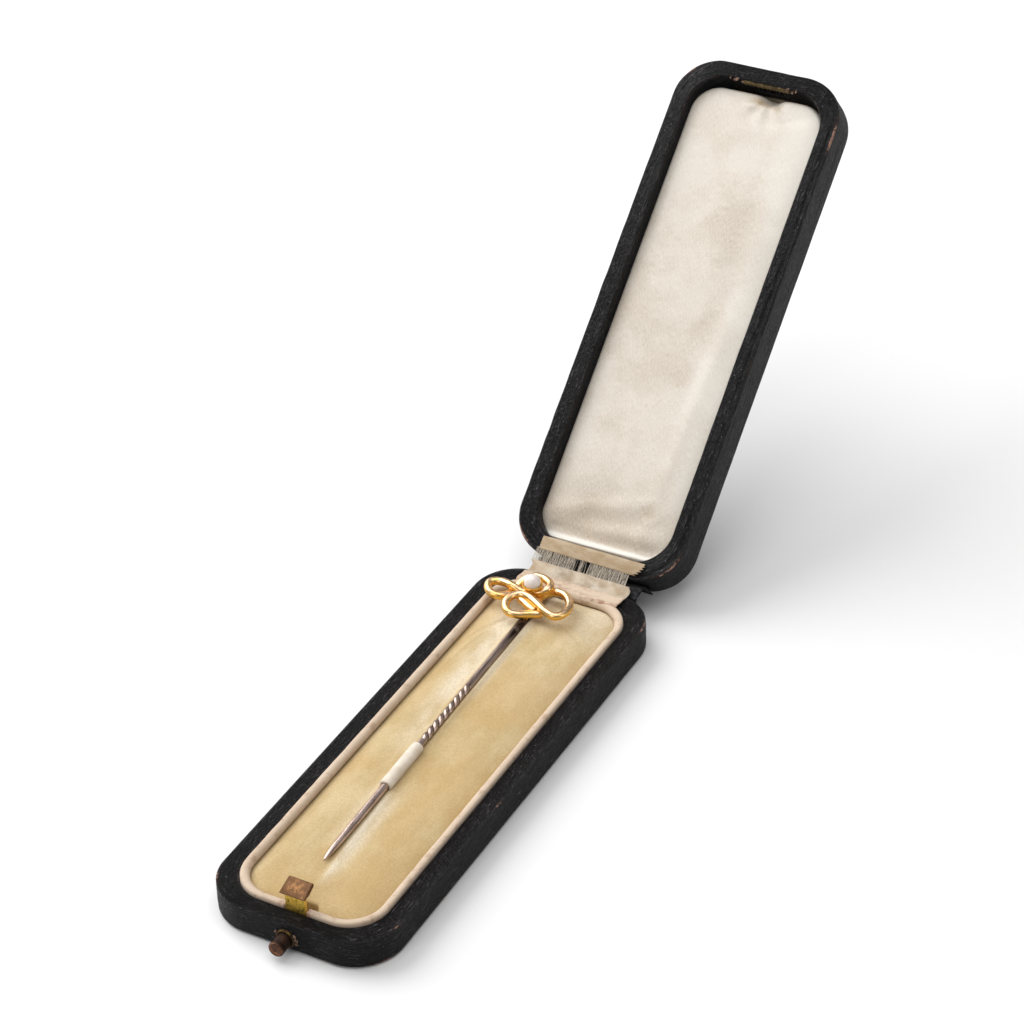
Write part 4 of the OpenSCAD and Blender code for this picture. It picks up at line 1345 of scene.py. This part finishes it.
strands, strand_faces = [], []
for k in range(THREADS):
    at = (-RIBBON_X - 0.5 + (2 * RIBBON_X - 0.9) * k / (THREADS - 1)
          + random.uniform(-0.06, 0.06))
    # most threads are gone at two bare places, and some everywhere
    if (-1.9 < at < -1.2 or -0.7 < at < 0.25) and random.random() < 0.85:
        continue
    if random.random() < 0.1:
        continue
    lean, sag = random.uniform(-0.3, 0.3), random.uniform(-0.16, 0.14)
    thick = random.uniform(0.02, 0.042)
    count = len(thread_path)
    strand_faces += tube_faces(len(strands), count, 4)
    for j, (py, pz) in enumerate(thread_path):
        s = j / (count - 1)
        drop = sag * math.sin(math.pi * s)
        cx = at + lean * (s - 0.5) + 0.03 * math.sin(7 * s + k)
        for corner in range(4):
            a = math.pi / 4 + corner * math.pi / 2
            strands.append((cx + thick * math.cos(a),
                            py + 0.7 * drop + thick * math.sin(a) * 0.5,
                            pz + drop + thick * math.sin(a)))
threads = solid_mesh("loose_threads", strands, strand_faces, thread_silk, smooth=True)
bpy.ops.object.select_all(action="DESELECT")
for part in (threads, ribbon_high, ribbon_low):
    part.select_set(True)
bpy.context.view_layer.objects.active = ribbon_low
bpy.ops.object.join()
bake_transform(ribbon_low)
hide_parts("silk_ribbon_base", "silk_ribbon_lid")

# ---------- stem of the pin ----------
# One drawn wire: a long smooth point, a stretch twisted so that it grips,
# and a fluted shank, dark with oxide, up to the head.

STEM_R, STEM_LENGTH, STEM_SIDES = 0.57, 60.4, 32
TWIST_FROM, TWIST_LENGTH, TWIST_TURN = 27.8, 13.6, 8.8 * math.pi
stem_at = np.concatenate([[0, 0.4, 1, 2, 3.5, 5, 7, 9, 12, 15, 18, 21, 24, 26.5, 27.4],
                          np.linspace(TWIST_FROM, TWIST_FROM + TWIST_LENGTH, 230),
                          np.linspace(41.8, STEM_LENGTH, 40)])
point_r = STEM_R * np.interp(stem_at, [0, 0.5, 1, 2, 3.5, 6, 10],
                             [0.1, 0.34, 0.52, 0.72, 0.85, 0.95, 1])
flute = rise(stem_at, 27.4, 28.6)
thin = 1 - 0.14 * bell(stem_at - 46, 5)
twist = TWIST_TURN * np.clip((stem_at - TWIST_FROM) / TWIST_LENGTH, 0, 1)
stem_rows = []
for s, r0, f, tw, slim in zip(stem_at, point_r, flute, twist, thin):
    row = []
    for k in range(STEM_SIDES):
        a = 2 * math.pi * k / STEM_SIDES
        lobe = abs(math.cos(a + tw)) ** 0.7
        r = r0 * slim * (1 + 0.06 * f - f * 0.46 * (1 - lobe))
        row.append((r * math.cos(a), s, -r * math.sin(a)))
    stem_rows.append(row)
stem_grid = np.array(stem_rows)
radial = np.hypot(stem_grid[..., 0], stem_grid[..., 2])
deep = np.clip((0.53 * thin[:, None] - radial) / 0.14, 0, 1) * flute[:, None]
deep *= 1 - 0.7 * rise(stem_at, 41, 43)[:, None]
oxide = np.clip(deep * 0.9 + rise(stem_at, 50, 57)[:, None] * 0.85
                + rise(stem_at, 26, 28)[:, None] * 0.1, 0, 1)


def stem_material():
    made, tree, shader = new_material("rose_grey_stem")
    at = own_mm(tree)
    lines = noise_of(tree, at, 1.0, 4, 0.6, stretch=(0.6, 0.6, 1))
    smear = noise_of(tree, at, 1.0, 4, 0.65, stretch=(3.0, 0.35, 1))
    tone = blend_colour(tree, between(tree, smear, 0.3, 0.7), "a8928a",
                        "d8c2b8")
    dark = maths(tree, "MULTIPLY", mark(tree, "oxide"),
                 between(tree, lines, 0.2, 0.55, 0.6, 1.0))
    tone = blend_colour(tree, dark, tone, "1d1410")
    feed(tree, shader, colour=tone,
         rough=between(tree, maths(tree, "ADD", smear, dark), 0.3, 1.3, 0.27, 0.42))
    fixed(shader, metal=1.0)
    bump(tree, shader, smear, 0.008)
    return made


stem_metal = stem_material()
stem = skin_mesh("pin_stem_wire", laid_on_stem(stem_grid), wrap_cols=True, caps=True,
                 marks={"oxide": oxide}, material=stem_metal)
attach(stem, "pin")
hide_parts("pin_stem")

# ---------- gold knot ----------
# Two lengths of drawn gold tube, bent into open loops, laid over each other
# and soldered. Their upper sides are painted paler and rosy, as a highlight.

FRONT = [(-2.75, 31.9, 6.25), (-2.5, 32.6, 6.1), (-2.4, 33.2, 6.0),
         (-2.6, 34.5, 5.9), (-2.1, 35.7, 6.0), (-0.8, 36.2, 6.4), (1.0, 35.75, 6.7),
         (2.65, 34.05, 6.8), (3.1, 31.95, 6.8), (2.2, 30.25, 6.9), (0.3, 30.55, 7.1),
         (-1.65, 31.5, 7.35), (-3.4, 32.25, 7.4), (-5.0, 32.1, 7.4), (-5.85, 30.7, 7.35),
         (-5.65, 29.25, 7.1), (-4.55, 28.3, 6.8), (-3.4, 28.5, 6.6), (-2.5, 29.25, 6.4),
         (-1.7, 29.9, 6.3), (-0.9, 30.3, 6.25), (-0.3, 30.9, 6.2)]
BACK = [(-5.25, 33.85, 6.6), (-6.95, 33.8, 7.25), (-9.0, 34.1, 7.15), (-10.35, 33.4, 7.15),
        (-10.2, 32.15, 7.05), (-9.2, 31.4, 6.75), (-7.9, 31.65, 6.5), (-7.15, 32.8, 6.3),
        (-6.85, 34.65, 6.2), (-6.55, 35.9, 6.5), (-5.9, 36.9, 6.9), (-4.8, 37.5, 7.15),
        (-3.3, 37.5, 7.15), (-1.95, 36.6, 7.2), (-1.75, 35.3, 7.15), (-2.95, 34.4, 6.8)]
TAIL = [(-4.75, 31.95, 6.75), (-3.6, 31.5, 6.7), (-2.4, 30.9, 6.6), (-1.25, 30.5, 6.45)]
TUBE_R, TUBE_SIDES = 0.62, 24


def bent_tube(name, knots, closed):
    """A gold tube bent along a line, open with rounded ends, or a closed ring."""
    line, _ = smooth_line(knots, 10, closed)
    ahead = np.roll(line, -1, 0) - np.roll(line, 1, 0)
    if not closed:
        ahead[0], ahead[-1] = line[1] - line[0], line[-1] - line[-2]
    ahead /= np.linalg.norm(ahead, axis=1, keepdims=True)
    rows = []
    for j, (p, way) in enumerate(zip(line, ahead)):
        u = np.cross(way, [0, 0, 1.0])
        u /= np.linalg.norm(u)
        v = np.cross(u, way)
        from_end = min(j, len(line) - 1 - j)
        full = closed or from_end >= 3
        grow = 1.0 if full else math.sqrt(max(0.0, 1 - (1 - from_end / 3.2) ** 2))
        rows.append([p + TUBE_R * grow * (math.cos(a) * u + math.sin(a) * v)
                     for a in 2 * math.pi * np.arange(TUBE_SIDES) / TUBE_SIDES])
    grid = np.array(rows)
    # how far up the tube each point lies, for the painted highlight
    top = np.clip((grid[..., 2] - line[:, None, 2]) / TUBE_R, -1, 1)
    grid = grid + (grid - line[:, None]) * (lumps(grid, 1.6, 91) * 0.008)[..., None]
    return skin_mesh(name, grid, wrap_rows=closed, wrap_cols=True, caps=not closed,
                     marks={"top": rise(top, 0.1, 0.9)}, material=warm_gold)


def gold_material():
    made, tree, shader = new_material("warm_gold")
    space = own_mm(tree, flat=False)
    cloud = noise_of(tree, space, 0.6, 4, 0.6)
    scratches = noise_of(tree, space, 3.5, 4, 0.7, stretch=(1, 3, 1), turn=30)
    # painted highlight: the upper side of each tube is paler and rosy
    painted_top_highlight = maths(tree, "MULTIPLY", mark(tree, "top"),
                 between(tree, cloud, 0.3, 0.6, 0.25, 0.75))
    tone = blend_colour(tree, painted_top_highlight, "efbf5c", "eccbb2")
    feed(tree, shader, colour=tone,
         rough=between(tree, scratches, 0.4, 0.7, 0.26, 0.38))
    fixed(shader, metal=1.0)
    bump(tree, shader, scratches, 0.0015)
    return made


warm_gold = gold_material()
knot_front = bent_tube("knot_front_loops", FRONT, False)
knot_back = bent_tube("knot_back_loops", BACK, True)
knot_tail = bent_tube("knot_tail_end", TAIL, False)
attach(knot_tail, "pin")
for piece, node in ((knot_front, "knot_front_tube"), (knot_back, "knot_back_tube")):
    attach(piece, "pin")
    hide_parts(node)
for name in ("stem_socket", "pearl_peg"):
    repaint(name, warm_gold)

# ---------- pearl and its cup ----------
# A slightly uneven pearl is pegged and cemented in a shallow gold cup with
# a beaded edge.

PEARL, PEARL_R = (-3.78, 34.4, 8.5), 1.3
CUP_LIFT = PEARL[2] - 8.45
CUP_SIDES = 56
cup_outline = [(0.2, 6.9), (0.4, 6.91), (0.6, 6.95), (0.85, 7.06), (1.1, 7.25), (1.28, 7.46),
               (1.42, 7.7), (1.5, 7.92), (1.53, 8.08), (1.5, 8.16), (1.42, 8.18), (1.35, 8.12),
               (1.28, 8.02), (1.18, 7.83), (1.03, 7.6), (0.75, 7.35), (0.45, 7.19), (0.2, 7.13)]
cup = turned("pearl_cup_bowl", [(r, h + CUP_LIFT) for r, h in cup_outline + cup_outline[:1]],
             (PEARL[0], PEARL[1], 0), (0, 0, 1), warm_gold, CUP_SIDES,
             marks={"top": np.zeros((len(cup_outline) + 1, CUP_SIDES))})
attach(cup, "pin")
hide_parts("pearl_cup")

BEADS, BEAD_R, BEAD_RING, BEAD_Z = 40, 0.095, 1.47, 8.17
bead_points, bead_faces = [], []
for a in 2 * math.pi * np.arange(BEADS) / BEADS:
    bead_faces += tube_faces(len(bead_points), 4, 8)
    for i in range(1, 5):
        polar = math.pi * i / 5
        for turn in 2 * math.pi * np.arange(8) / 8:
            bead_points.append(
                (PEARL[0] + BEAD_RING * math.cos(a) + BEAD_R * math.sin(polar) * math.cos(turn),
                 PEARL[1] + BEAD_RING * math.sin(a) + BEAD_R * math.sin(polar) * math.sin(turn),
                 BEAD_Z + CUP_LIFT + BEAD_R * math.cos(polar)))
beads = solid_mesh("pearl_cup_beads", bead_points, bead_faces, warm_gold, smooth=True)
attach(beads, "pin")

polar = math.pi * np.linspace(0.004, 0.996, 33)[:, None]
round_it = 2 * math.pi * np.arange(64) / 64
pearl_grid = np.stack([np.sin(polar) * np.cos(round_it), np.sin(polar) * np.sin(round_it),
                       np.cos(polar) * np.ones(64)], axis=-1)
pearl_grid *= (PEARL_R + 0.01 * lumps(pearl_grid, 0.7, 95))[..., None]
pearl_grid += np.array(PEARL)


def pearl_material():
    made, tree, shader = new_material("pearl_nacre")
    space = own_mm(tree, flat=False)
    cloud = noise_of(tree, space, 0.8, 3, 0.5)
    skin_marks = noise_of(tree, space, 4.0, 3, 0.6)
    tone = blend_colour(tree, cloud, "e6e0da", "dcd2c8")
    tone = blend_colour(tree, between(tree, cloud, 0.5, 0.7, 0, 0.4), tone, "e6d6d6")
    feed(tree, shader, colour=tone, rough=between(tree, skin_marks, 0.3, 0.7, 0.16, 0.28))
    fixed(shader, coat=1.0, coat_rough=0.06, under=0.15, under_scale=0.0006,
          under_reach=(1.0, 0.85, 0.75), gloss=0.6)
    bump(tree, shader, skin_marks, 0.004)
    return made


pearl = skin_mesh("pearl_drop", pearl_grid, wrap_cols=True, caps=True,
                  material=pearl_material())
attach(pearl, "pin")
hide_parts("pearl")
